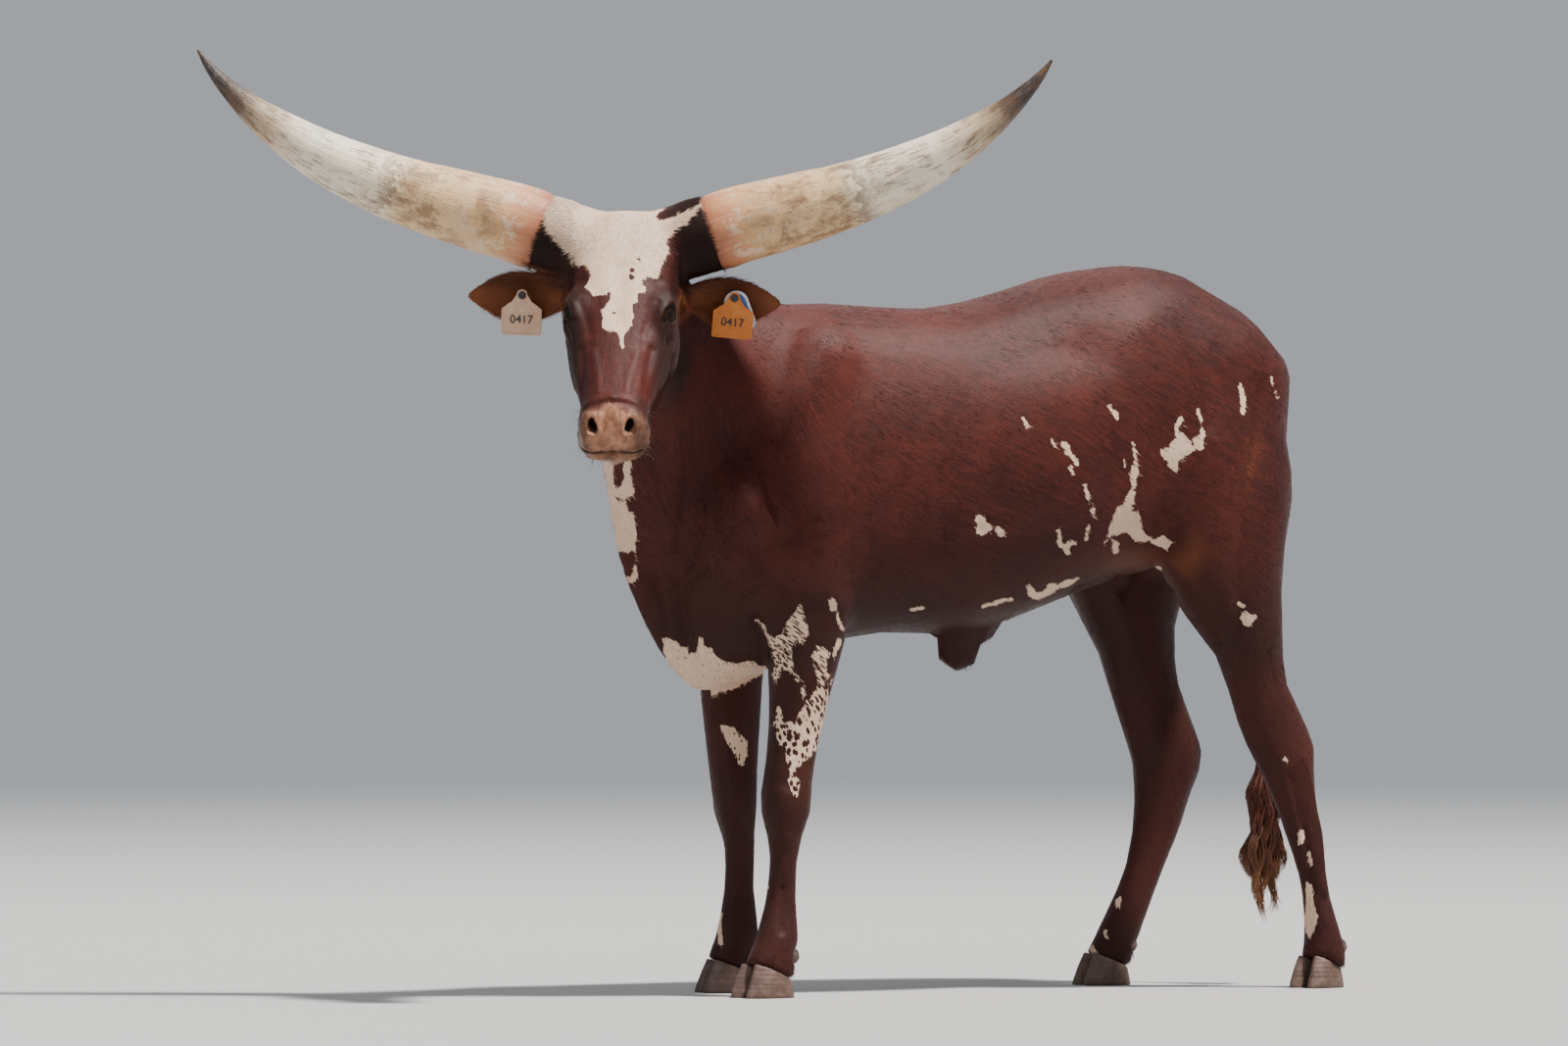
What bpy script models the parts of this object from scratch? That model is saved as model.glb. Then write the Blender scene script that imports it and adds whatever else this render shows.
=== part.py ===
"""Ankole Watusi young bull, standing still with its head turned to its left.

World metres, +Z up.  The bull faces -Y and its left side is +X.  The origin is
at the centre of the footprint, on the ground.
"""

import math
import random

import bmesh
import bpy
from mathutils import Matrix, Vector
from mathutils.bvhtree import BVHTree

# Driving sizes of the whole animal
GAP = 0.0003
FRAME_SHIFT = Vector((-0.102, 0.379, 0.0))
BODY_VOXEL = 0.0075
BODY_TRIANGLES = 5600
HEAD_TRIANGLES = 15500

# Head: where the poll stands, how far it turns and how steeply it hangs
POLL = Vector((0.140, -0.778, 1.418))
HEAD_TURN = math.radians(60.5)
HEAD_DROP = math.radians(52.0)
EYE_RADIUS = 0.0185
EYE_ALONG = 0.213
EYE_SIDE = 0.0840
EYE_SINK = -0.042

# Horns: out and up from the poll, given as stations of the left one
HORN_STATIONS = (
    (0.153, -0.037, -0.048, 0.0705),
    (0.200, -0.019, -0.047, 0.0690),
    (0.270, 0.000, -0.045, 0.0665),
    (0.370, 0.029, -0.040, 0.0610),
    (0.455, 0.060, -0.034, 0.0550),
    (0.540, 0.099, -0.028, 0.0465),
    (0.610, 0.141, -0.025, 0.0360),
    (0.665, 0.181, -0.026, 0.0255),
    (0.708, 0.220, -0.030, 0.0165),
    (0.740, 0.255, -0.035, 0.0090),
    (0.762, 0.286, -0.040, 0.0026),
)
HORN_SET = {1.0: (math.radians(1.0), 1.0), -1.0: (0.0, 1.028)}
HORN_WAY = Vector((0.933, 0.0, 0.360))
HORN_SEAT = Vector((0.153, -0.048, -0.037))

# Ears: along, half height, depth of the cup, wall, rise and set forward
EAR_STATIONS = (
    (0.085, 0.022, 0.024, 0.022, -0.156, -0.020),
    (0.112, 0.027, 0.026, 0.020, -0.155, -0.022),
    (0.140, 0.037, 0.028, 0.013, -0.154, -0.026),
    (0.170, 0.044, 0.027, 0.008, -0.154, -0.030),
    (0.200, 0.045, 0.023, 0.007, -0.154, -0.034),
    (0.230, 0.039, 0.018, 0.006, -0.152, -0.038),
    (0.258, 0.026, 0.012, 0.005, -0.150, -0.042),
    (0.279, 0.011, 0.006, 0.004, -0.148, -0.045),
    (0.288, 0.003, 0.003, 0.002, -0.147, -0.047),
)
EAR_LEAN = 0.20
EAR_SET = {1.0: (math.radians(6.0), 0.96, 0.001), -1.0: (math.radians(-3.0), 1.02, 0.007)}
STUD_SPOT = {1.0: (0.196, -0.155), -1.0: (0.188, -0.149)}

# Ear tags
TAG_THICK = 0.0022

# Torso stations: y, top, bottom, half width, height of the widest part
TORSO_STATIONS = (
    (-0.640, 0.90, 0.70, 0.045, 0.79),
    (-0.610, 0.98, 0.625, 0.095, 0.79),
    (-0.560, 1.09, 0.575, 0.142, 0.81),
    (-0.490, 1.20, 0.575, 0.172, 0.84),
    (-0.420, 1.252, 0.598, 0.188, 0.86),
    (-0.340, 1.262, 0.632, 0.202, 0.88),
    (-0.220, 1.255, 0.655, 0.222, 0.90),
    (-0.100, 1.255, 0.655, 0.237, 0.92),
    (0.020, 1.279, 0.672, 0.240, 0.94),
    (0.120, 1.310, 0.705, 0.234, 0.96),
    (0.210, 1.328, 0.735, 0.222, 1.00),
    (0.300, 1.335, 0.760, 0.208, 1.04),
    (0.380, 1.326, 0.780, 0.196, 1.06),
    (0.450, 1.292, 0.810, 0.178, 1.06),
    (0.520, 1.256, 0.850, 0.150, 1.05),
    (0.575, 1.210, 0.900, 0.108, 1.04),
    (0.610, 1.140, 0.960, 0.055, 1.04),
)

# Muscle and bone under the skin of both sides: middle, radii, tilt
TORSO_BALLS = (
    ("blade", (0.105, -0.400, 1.020), (0.068, 0.120, 0.210), -18),
    ("shoulder", (0.122, -0.510, 0.850), (0.074, 0.120, 0.150), 20),
    ("triceps", (0.138, -0.405, 0.800), (0.066, 0.115, 0.150), -30),
    ("hook", (0.126, 0.250, 1.200), (0.060, 0.090, 0.064), 0),
    ("pin", (0.070, 0.550, 1.120), (0.050, 0.055, 0.070), 0),
    ("rump", (0.092, 0.400, 1.090), (0.096, 0.190, 0.170), 0),
    ("haunch", (0.110, 0.425, 0.940), (0.098, 0.160, 0.220), 8),
)

# Neck stations: centre, direction, half width, reach up, reach down
NECK_STATIONS = (
    ((0.000, -0.380, 0.980), (0.00, -1.0, 0.10), 0.165, 0.276, 0.280),
    ((0.010, -0.500, 1.010), (0.06, -1.0, 0.22), 0.136, 0.262, 0.320),
    ((0.030, -0.590, 1.050), (0.18, -1.0, 0.38), 0.114, 0.234, 0.290),
    ((0.055, -0.665, 1.105), (0.30, -1.0, 0.58), 0.099, 0.190, 0.225),
    ((0.085, -0.718, 1.175), (0.42, -1.0, 0.80), 0.090, 0.160, 0.165),
    ((0.115, -0.752, 1.245), (0.55, -1.0, 1.00), 0.084, 0.130, 0.125),
    ((0.150, -0.780, 1.290), (0.60, -1.0, 0.90), 0.080, 0.090, 0.095),
)

# Head stations: along, face line, jaw line, half width, power of the section
HEAD_STATIONS = (
    (-0.030, -0.030, -0.110, 0.070, 2.2),
    (0.000, -0.004, -0.150, 0.098, 2.4),
    (0.060, 0.004, -0.172, 0.102, 2.5),
    (0.120, 0.004, -0.190, 0.096, 2.5),
    (0.175, 0.003, -0.205, 0.100, 2.4),
    (0.215, 0.001, -0.208, 0.101, 2.4),
    (0.260, -0.002, -0.196, 0.093, 2.4),
    (0.310, -0.004, -0.172, 0.085, 2.3),
    (0.360, -0.004, -0.148, 0.0725, 2.3),
    (0.405, -0.003, -0.130, 0.0610, 2.3),
    (0.440, -0.004, -0.128, 0.0630, 2.4),
    (0.468, -0.016, -0.124, 0.062, 2.5),
    (0.488, -0.036, -0.112, 0.052, 2.4),
    (0.497, -0.052, -0.096, 0.032, 2.2),
)

# Leg stations: z, front edge, rear edge, half width, x of the middle
FORE_LEFT = (
    (0.860, -0.590, -0.370, 0.050, 0.130),
    (0.760, -0.560, -0.325, 0.062, 0.130),
    (0.680, -0.515, -0.325, 0.062, 0.128),
    (0.600, -0.488, -0.345, 0.054, 0.122),
    (0.500, -0.484, -0.372, 0.044, 0.118),
    (0.430, -0.490, -0.388, 0.041, 0.118),
    (0.380, -0.499, -0.396, 0.043, 0.118),
    (0.335, -0.500, -0.398, 0.041, 0.118),
    (0.298, -0.489, -0.412, 0.031, 0.118),
    (0.250, -0.483, -0.424, 0.026, 0.118),
    (0.190, -0.488, -0.427, 0.026, 0.118),
    (0.145, -0.500, -0.426, 0.031, 0.120),
    (0.108, -0.512, -0.424, 0.037, 0.122),
    (0.075, -0.528, -0.430, 0.037, 0.124),
    (0.035, -0.546, -0.434, 0.040, 0.126),
)
FORE_RIGHT = (
    (0.860, -0.600, -0.370, 0.050, -0.130),
    (0.760, -0.570, -0.335, 0.062, -0.130),
    (0.680, -0.535, -0.350, 0.062, -0.128),
    (0.600, -0.516, -0.380, 0.054, -0.120),
    (0.500, -0.509, -0.391, 0.044, -0.114),
    (0.430, -0.501, -0.396, 0.041, -0.112),
    (0.380, -0.495, -0.399, 0.043, -0.110),
    (0.335, -0.487, -0.400, 0.041, -0.110),
    (0.298, -0.473, -0.403, 0.031, -0.110),
    (0.250, -0.467, -0.404, 0.026, -0.110),
    (0.190, -0.469, -0.405, 0.026, -0.110),
    (0.145, -0.476, -0.400, 0.031, -0.110),
    (0.108, -0.484, -0.396, 0.037, -0.110),
    (0.075, -0.496, -0.400, 0.037, -0.110),
    (0.035, -0.512, -0.404, 0.040, -0.110),
)
HIND_LEFT = (
    (1.040, 0.380, 0.560, 0.050, 0.100),
    (0.960, 0.330, 0.582, 0.080, 0.112),
    (0.880, 0.295, 0.576, 0.090, 0.124),
    (0.780, 0.300, 0.560, 0.080, 0.130),
    (0.690, 0.350, 0.556, 0.066, 0.132),
    (0.620, 0.412, 0.558, 0.052, 0.132),
    (0.560, 0.440, 0.568, 0.044, 0.132),
    (0.500, 0.458, 0.598, 0.040, 0.132),
    (0.450, 0.480, 0.622, 0.041, 0.132),
    (0.400, 0.508, 0.622, 0.040, 0.134),
    (0.340, 0.535, 0.624, 0.034, 0.138),
    (0.270, 0.562, 0.634, 0.029, 0.142),
    (0.200, 0.584, 0.642, 0.029, 0.146),
    (0.150, 0.590, 0.652, 0.034, 0.150),
    (0.110, 0.592, 0.664, 0.040, 0.152),
    (0.075, 0.588, 0.674, 0.040, 0.154),
    (0.035, 0.580, 0.676, 0.042, 0.156),
)
HIND_RIGHT = (
    (1.040, 0.360, 0.550, 0.050, -0.100),
    (0.960, 0.290, 0.565, 0.080, -0.112),
    (0.880, 0.235, 0.548, 0.090, -0.122),
    (0.780, 0.215, 0.510, 0.080, -0.126),
    (0.690, 0.262, 0.470, 0.066, -0.126),
    (0.620, 0.302, 0.464, 0.054, -0.125),
    (0.560, 0.322, 0.472, 0.045, -0.125),
    (0.500, 0.343, 0.495, 0.041, -0.125),
    (0.440, 0.366, 0.520, 0.041, -0.125),
    (0.400, 0.376, 0.518, 0.040, -0.125),
    (0.350, 0.378, 0.496, 0.035, -0.125),
    (0.290, 0.374, 0.476, 0.029, -0.125),
    (0.220, 0.360, 0.444, 0.028, -0.125),
    (0.165, 0.336, 0.420, 0.032, -0.125),
    (0.115, 0.310, 0.400, 0.038, -0.125),
    (0.080, 0.292, 0.386, 0.039, -0.125),
    (0.035, 0.264, 0.370, 0.041, -0.125),
)

# Feet: middle of the foot on the ground, toe direction, length, half breadth
FEET = {
    "front_left": (Vector((0.128, -0.500, 0.0)), Vector((0.22, -1.0, 0.0)), 0.104, 0.047),
    "front_right": (Vector((-0.110, -0.462, 0.0)), Vector((-0.06, -1.0, 0.0)), 0.104, 0.047),
    "hind_left": (Vector((0.156, 0.614, 0.0)), Vector((0.45, -1.0, 0.0)), 0.094, 0.043),
    "hind_right": (Vector((-0.125, 0.312, 0.0)), Vector((0.05, -1.0, 0.0)), 0.098, 0.043),
}
COFFIN_HEIGHT = 0.050
CORONET_SLOPE = 0.42
CLEFT = 0.0045

# Tail
TAIL_PATH = (
    (0.000, 0.520, 1.228, 0.028),
    (0.000, 0.570, 1.190, 0.026),
    (0.000, 0.602, 1.120, 0.0225),
    (-0.002, 0.612, 1.020, 0.0195),
    (-0.004, 0.612, 0.880, 0.0165),
    (-0.008, 0.606, 0.720, 0.0140),
    (-0.012, 0.600, 0.560, 0.0125),
    (-0.014, 0.594, 0.430, 0.0110),
    (-0.014, 0.590, 0.380, 0.0095),
)
TAIL_CUT_HEIGHT = 0.425
LOCKS = 15
LOCK_LENGTH = 0.285


def clear_scene():
    """Empty the file."""
    for item in list(bpy.data.objects):
        bpy.data.objects.remove(item, do_unlink=True)
    for item in list(bpy.data.collections):
        bpy.data.collections.remove(item)


def material(name, colour, roughness, metallic=0.0):
    """Return a plain material of one colour."""
    made = bpy.data.materials.new(name)
    made.use_nodes = True
    shader = made.node_tree.nodes["Principled BSDF"]
    shader.inputs["Base Color"].default_value = (*colour, 1.0)
    shader.inputs["Roughness"].default_value = roughness
    shader.inputs["Metallic"].default_value = metallic
    return made


def add_object(name, mesh, collection):
    """Put a mesh in the scene under a name."""
    made = bpy.data.objects.new(name, mesh)
    collection.objects.link(made)
    return made


def mesh_of(name, points, faces):
    """Return a mesh with its faces turned outward."""
    mesh = bpy.data.meshes.new(name)
    mesh.from_pydata([tuple(point) for point in points], [], faces)
    work = bmesh.new()
    work.from_mesh(mesh)
    bmesh.ops.remove_doubles(work, verts=work.verts, dist=1e-6)
    bmesh.ops.recalc_face_normals(work, faces=work.faces)
    work.to_mesh(mesh)
    work.free()
    return mesh


def oval(centre, side, up, wide, high, low, power=2.0, count=24):
    """Return one ring of a section that reaches differently up and down."""
    ring = []
    for step in range(count):
        angle = 2.0 * math.pi * step / count
        across = math.cos(angle)
        rise = math.sin(angle)
        flat = math.copysign(abs(across) ** (2.0 / power), across)
        tall = math.copysign(abs(rise) ** (2.0 / power), rise)
        reach = high if rise > 0.0 else low
        ring.append(centre + side * (flat * wide) + up * (tall * reach))
    return ring


def loft(name, rings, collection):
    """Skin a row of rings of equal count and close both ends."""
    count = len(rings[0])
    points = [point for ring in rings for point in ring]
    faces = []
    for row in range(len(rings) - 1):
        for step in range(count):
            after = (step + 1) % count
            low = row * count
            high = low + count
            faces.append((low + step, low + after, high + after, high + step))
    faces.append(tuple(range(count)))
    faces.append(tuple(range(len(points) - count, len(points))))
    return add_object(name, mesh_of(name, points, faces), collection)


def smooth_rows(rows, parts=3):
    """Return rows of numbers with Catmull-Rom steps put between them."""
    made = []
    last = len(rows) - 1
    for index in range(last):
        before = rows[max(index - 1, 0)]
        start = rows[index]
        end = rows[index + 1]
        after = rows[min(index + 2, last)]
        for part in range(parts):
            t = part / parts
            made.append(tuple(spline(a, b, c, d, t) for a, b, c, d in zip(before, start, end, after)))
    made.append(tuple(rows[last]))
    return made


def spline(a, b, c, d, t):
    """Return one Catmull-Rom value between b and c."""
    first = 2.0 * b + (c - a) * t
    second = (2.0 * a - 5.0 * b + 4.0 * c - d) * t * t
    third = (3.0 * b - a - 3.0 * c + d) * t * t * t
    return 0.5 * (first + second + third)


def ball(name, centre, radii, turn, collection, segments=24):
    """Return an ellipsoid, turned by Euler angles in degrees."""
    work = bmesh.new()
    bmesh.ops.create_uvsphere(work, u_segments=segments, v_segments=segments // 2, radius=1.0)
    mesh = bpy.data.meshes.new(name)
    work.to_mesh(mesh)
    work.free()
    angles = Matrix.Rotation(math.radians(turn[2]), 4, "Z")
    angles = angles @ Matrix.Rotation(math.radians(turn[1]), 4, "Y")
    angles = angles @ Matrix.Rotation(math.radians(turn[0]), 4, "X")
    size = Matrix.Diagonal((*radii, 1.0))
    mesh.transform(Matrix.Translation(centre) @ angles @ size)
    return add_object(name, mesh, collection)


def block(name, frame, low, high, collection):
    """Return a box between two corners in a frame of its own."""
    work = bmesh.new()
    bmesh.ops.create_cube(work, size=1.0)
    mesh = bpy.data.meshes.new(name)
    work.to_mesh(mesh)
    work.free()
    size = Vector(high) - Vector(low)
    middle = (Vector(high) + Vector(low)) / 2.0
    mesh.transform(frame @ Matrix.Translation(middle) @ Matrix.Diagonal((*size, 1.0)))
    return add_object(name, mesh, collection)


def frame_of(origin, x_axis, y_axis):
    """Return the matrix of a frame from its origin and two directions."""
    first = Vector(x_axis).normalized()
    third = first.cross(Vector(y_axis)).normalized()
    second = third.cross(first)
    turn = Matrix((first, second, third)).transposed().to_4x4()
    return Matrix.Translation(origin) @ turn


def applied(thing):
    """Turn an object's modifiers into its mesh."""
    graph = bpy.context.evaluated_depsgraph_get()
    mesh = bpy.data.meshes.new_from_object(thing.evaluated_get(graph))
    thing.modifiers.clear()
    thing.data = mesh
    return thing


def merged(name, pieces, collection):
    """Lay several closed pieces in one mesh."""
    work = bmesh.new()
    for piece in pieces:
        work.from_mesh(piece.data)
    mesh = bpy.data.meshes.new(name)
    work.to_mesh(mesh)
    work.free()
    for piece in pieces:
        bpy.data.objects.remove(piece)
    return add_object(name, mesh, collection)


def boolean(thing, cutter, operation, solver="MANIFOLD", keep=False):
    """Unite with or cut away another object."""
    step = thing.modifiers.new("boolean", "BOOLEAN")
    step.operation = operation
    step.solver = solver
    step.object = cutter
    applied(thing)
    if not keep:
        bpy.data.objects.remove(cutter)
    return thing


def united(name, pieces, collection):
    """Join closed pieces with one Boolean union."""
    first = pieces[0]
    rest = bpy.data.collections.new(name + "_pieces")
    bpy.context.scene.collection.children.link(rest)
    for piece in pieces[1:]:
        collection.objects.unlink(piece)
        rest.objects.link(piece)
    step = first.modifiers.new("union", "BOOLEAN")
    step.operation = "UNION"
    step.solver = "MANIFOLD"
    step.operand_type = "COLLECTION"
    step.collection = rest
    applied(first)
    for piece in list(rest.objects):
        bpy.data.objects.remove(piece)
    bpy.data.collections.remove(rest)
    first.name = name
    first.data.name = name
    return first


def remeshed(thing, voxel, rounds):
    """Run a voxel skin over the pieces, relax it, and the trunk more than the rest."""
    skin = thing.modifiers.new("skin", "REMESH")
    skin.mode = "VOXEL"
    skin.voxel_size = voxel
    applied(thing)
    group = thing.vertex_groups.new(name="trunk")
    plane = neck_cut_frame().inverted()
    for point in thing.data.vertices:
        high = min(max((point.co.z - 0.60) / 0.14, 0.0), 1.0)
        away = min(max((-0.01 - (plane @ point.co).x) / 0.10, 0.0), 1.0)
        group.add([point.index], high * away, "REPLACE")
    relax = thing.modifiers.new("relax", "SMOOTH")
    relax.factor = 0.5
    relax.iterations = rounds
    fair = thing.modifiers.new("fair", "SMOOTH")
    fair.factor = 0.5
    fair.iterations = 26
    fair.vertex_group = "trunk"
    return applied(thing)


def triangle_count(mesh):
    """Return how many triangles a mesh makes."""
    return sum(len(face.vertices) - 2 for face in mesh.polygons)


def thinned(thing, target):
    """Collapse a mesh to about a number of triangles."""
    step = thing.modifiers.new("thin", "DECIMATE")
    step.ratio = min(1.0, target / triangle_count(thing.data))
    step.use_collapse_triangulate = True
    return applied(thing)


def grown(name, thing, reach, collection):
    """Return a copy with every point moved outward."""
    mesh = thing.data.copy()
    work = bmesh.new()
    work.from_mesh(mesh)
    bmesh.ops.recalc_face_normals(work, faces=work.faces)
    work.normal_update()
    moves = [point.normal * reach * min(point.calc_shell_factor(), 1.5) for point in work.verts]
    for point, move in zip(work.verts, moves):
        point.co += move
    work.to_mesh(mesh)
    work.free()
    return add_object(name, mesh, collection)


def copied(name, thing, collection):
    """Return an object with a mesh copy of its own."""
    return add_object(name, thing.data.copy(), collection)


def largest_piece(thing):
    """Keep only the largest connected part of a mesh."""
    work = bmesh.new()
    work.from_mesh(thing.data)
    left = set(work.verts)
    groups = []
    while left:
        front = [left.pop()]
        group = set(front)
        while front:
            point = front.pop()
            for edge in point.link_edges:
                other = edge.other_vert(point)
                if other not in group:
                    group.add(other)
                    left.discard(other)
                    front.append(other)
        groups.append(group)
    groups.sort(key=len)
    for group in groups[:-1]:
        bmesh.ops.delete(work, geom=list(group), context="VERTS")
    work.to_mesh(thing.data)
    work.free()
    return thing


def head_frame():
    """Return the head's frame: X along the face, Y to its left, Z out of the face."""
    forward = Vector((math.sin(HEAD_TURN), -math.cos(HEAD_TURN), 0.0))
    left = Vector((math.cos(HEAD_TURN), math.sin(HEAD_TURN), 0.0))
    along = forward * math.cos(HEAD_DROP) + Vector((0.0, 0.0, -math.sin(HEAD_DROP)))
    return frame_of(POLL, along, left)


def level_frame():
    """Return the poll's level frame: X to the left, Y forward, Z up."""
    forward = Vector((math.sin(HEAD_TURN), -math.cos(HEAD_TURN), 0.0))
    left = Vector((math.cos(HEAD_TURN), math.sin(HEAD_TURN), 0.0))
    turn = Matrix((left, forward, Vector((0.0, 0.0, 1.0)))).transposed().to_4x4()
    return Matrix.Translation(POLL) @ turn


def torso_masses(guides):
    """Return the barrel of the body with its shoulder and hip masses."""
    side = Vector((1.0, 0.0, 0.0))
    up = Vector((0.0, 0.0, 1.0))
    rings = []
    for y, top, bottom, wide, middle in smooth_rows(TORSO_STATIONS):
        centre = Vector((0.0, y, middle))
        rings.append(oval(centre, side, up, wide, top - middle, middle - bottom, 2.15, 32))
    pieces = [loft("barrel", rings, guides)]
    for sign in (-1.0, 1.0):
        for name, centre, radii, tilt in TORSO_BALLS:
            place = (sign * centre[0], centre[1], centre[2])
            pieces.append(ball(name, place, radii, (tilt, 0, 0), guides))
    return pieces


def neck_masses(guides):
    """Return the neck with the fold of the dewlap and the brisket."""
    rings = []
    rows = [(*centre, *way, wide, high, low) for centre, way, wide, high, low in NECK_STATIONS]
    for row in smooth_rows(rows):
        centre = Vector(row[0:3])
        way = Vector(row[3:6]).normalized()
        side = way.cross(Vector((0.0, 0.0, 1.0))).normalized()
        up = side.cross(way).normalized()
        rings.append(oval(centre, side, up, row[6], row[7], row[8], 2.0, 28))
    pieces = [loft("neck_tube", rings, guides)]
    pieces.append(dewlap(guides))
    return pieces


def dewlap(guides):
    """Return the thin fold that hangs from throat to brisket."""
    stations = (
        (0.120, -0.800, 1.090, 0.030, 0.016),
        (0.085, -0.793, 0.990, 0.055, 0.018),
        (0.055, -0.776, 0.890, 0.070, 0.020),
        (0.035, -0.746, 0.790, 0.085, 0.024),
        (0.018, -0.702, 0.700, 0.095, 0.030),
        (0.006, -0.640, 0.612, 0.095, 0.038),
        (0.000, -0.570, 0.552, 0.090, 0.045),
        (0.000, -0.490, 0.572, 0.080, 0.050),
        (0.000, -0.400, 0.620, 0.070, 0.044),
    )
    rings = []
    rows = smooth_rows(stations, 3)
    for index, (x, y, z, deep, wide) in enumerate(rows):
        before = Vector(rows[max(index - 1, 0)][0:3])
        after = Vector(rows[min(index + 1, len(rows) - 1)][0:3])
        way = (after - before).normalized()
        side = Vector((1.0, 0.35 if z > 0.75 else 0.15, 0.0))
        side = (side - way * side.dot(way)).normalized()
        inward = way.cross(side).normalized()
        if inward.z < 0.0:
            inward = -inward
        if inward.y < 0.0 and z > 0.62:
            inward = -inward
        rings.append(oval(Vector((x, y, z)) + inward * deep, side, inward, wide, deep, deep, 2.0, 20))
    return loft("dewlap", rings, guides)


def head_masses(guides):
    """Return the skull, cheeks, horn seats, ear seats, brows and lips."""
    frame = head_frame()
    turn = frame.to_3x3()
    side = turn @ Vector((0.0, 1.0, 0.0))
    up = turn @ Vector((0.0, 0.0, 1.0))
    rings = []
    for along, face, jaw, wide, power in smooth_rows(HEAD_STATIONS):
        middle = face * 0.62 + jaw * 0.38
        centre = frame @ Vector((along, 0.0, middle))
        rings.append(oval(centre, side, up, wide, face - middle, middle - jaw, power, 28))
    pieces = [loft("skull", rings, guides)]
    pieces.append(horn_seats(guides))
    spots = (
        ("throat", (0.090, 0.0, -0.150), (0.090, 0.070, 0.070)),
        ("chin", (0.445, 0.0, -0.110), (0.036, 0.038, 0.028)),
    )
    for name, centre, radii in spots:
        pieces.append(head_ball(name, centre, radii, guides))
    for sign in (-1.0, 1.0):
        pairs = (
            ("brow", (EYE_ALONG - 0.012, sign * 0.073, -0.024), (0.050, 0.030, 0.024)),
            ("orbit", (EYE_ALONG + 0.002, sign * 0.074, -0.046), (0.056, 0.031, 0.038)),
            ("cheek", (0.205, sign * 0.060, -0.120), (0.090, 0.043, 0.074)),
            ("ear_seat", (0.112, sign * 0.066, -0.104), (0.052, 0.046, 0.046)),
            ("wing", (0.452, sign * 0.037, -0.046), (0.046, 0.027, 0.037)),
            ("lip", (0.455, sign * 0.042, -0.082), (0.036, 0.026, 0.024)),
        )
        for name, centre, radii in pairs:
            pieces.append(head_ball(name, centre, radii, guides))
    return pieces


def head_ball(name, centre, radii, guides):
    """Return an ellipsoid placed in the head's frame."""
    made = ball(name, (0.0, 0.0, 0.0), radii, (0, 0, 0), guides)
    made.data.transform(head_frame() @ Matrix.Translation(centre))
    return made


def horn_frame(sign):
    """Return the level frame with the small roll and the length of one horn."""
    roll, reach = HORN_SET[sign]
    seat = Vector((sign * HORN_SEAT.x, HORN_SEAT.y, HORN_SEAT.z))
    size = Matrix.Translation(seat) @ Matrix.Scale(reach, 4) @ Matrix.Translation(-seat)
    return level_frame() @ Matrix.Rotation(roll, 4, "Y") @ size


def horn_axis_frame(sign):
    """Return the plane where a horn leaves the fur: X points up the horn."""
    frame = horn_frame(sign)
    turn = frame.to_3x3()
    seat = Vector((sign * HORN_SEAT.x, HORN_SEAT.y, HORN_SEAT.z))
    way = Vector((sign * HORN_WAY.x, HORN_WAY.y, HORN_WAY.z))
    return frame_of(frame @ seat, turn @ way, turn @ Vector((0.0, 1.0, 0.0)))


def horn(name, sign, parts):
    """Return one horn from its seat to its tip."""
    frame = horn_frame(sign)
    rows = smooth_rows(HORN_STATIONS, 2)
    rings = []
    for index, (side, rise, forward, radius) in enumerate(rows):
        before = rows[max(index - 1, 0)]
        after = rows[min(index + 1, len(rows) - 1)]
        way = Vector((after[0] - before[0], after[2] - before[2], after[1] - before[1]))
        if index == 0:
            way = HORN_WAY.copy()
        way.normalize()
        across = way.cross(Vector((0.0, 0.0, 1.0))).normalized()
        up = across.cross(way).normalized()
        centre = Vector((side, forward, rise))
        if index == 0:
            centre += way * (GAP / 2.0)
        ring = oval(centre, across, up, radius * 0.97, radius, radius, 2.0, 16)
        rings.append([frame @ Vector((sign * point.x, point.y, point.z)) for point in ring])
    return loft(name, rings, parts)


def horn_seats(guides):
    """Return the thick bar of the poll from one horn to the other."""
    half = ((0.000, -0.072, 0.0700), (0.050, -0.066, 0.0710), (0.100, -0.052, 0.0735))
    half += ((0.150, -0.038, 0.0735), (0.215, -0.014, 0.0715))
    rows = [(-side, rise, radius) for side, rise, radius in half[:0:-1]] + list(half)
    frame = level_frame()
    turn = frame.to_3x3()
    rings = []
    for side, rise, radius in rows:
        centre = frame @ Vector((side, -0.048, rise))
        across = turn @ Vector((0.0, 1.0, 0.0))
        rings.append(oval(centre, across, Vector((0.0, 0.0, 1.0)), radius * 0.97, radius, radius, 2.0, 24))
    return loft("horn_seats", rings, guides)


def leg_masses(name, stations, guides):
    """Return one leg as a loft of level ovals, with the set of its two views told apart."""
    rings = []
    side = Vector((1.0, 0.0, 0.0))
    fore = Vector((0.0, 1.0, 0.0))
    for z, front, rear, wide, middle in smooth_rows(stations, 2):
        seen = (rear - front) / 2.0
        deep = math.sqrt(max(seen * seen - (0.466 * wide) ** 2, 0.0004))
        centre = Vector((middle, (front + rear) / 2.0, z))
        rings.append(oval(centre, side, fore, wide, deep, deep, 2.15, 22))
    return loft(name, rings, guides)


def sheath(guides):
    """Return the sheath that hangs under the belly."""
    body = ball("sheath", (0.0, -0.045, 0.628), (0.028, 0.046, 0.044), (-12, 0, 0), guides)
    root = ball("sheath_root", (0.0, -0.020, 0.668), (0.034, 0.060, 0.032), (-8, 0, 0), guides)
    return [body, root]


def whole_flesh(guides):
    """Return one fair skin over every mass of the body."""
    pieces = torso_masses(guides) + neck_masses(guides) + head_masses(guides)
    for name, stations in leg_tables():
        pieces.append(leg_masses(name, stations, guides))
    pieces += sheath(guides)
    whole = merged("flesh", pieces, guides)
    return remeshed(whole, BODY_VOXEL, 3)


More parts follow.
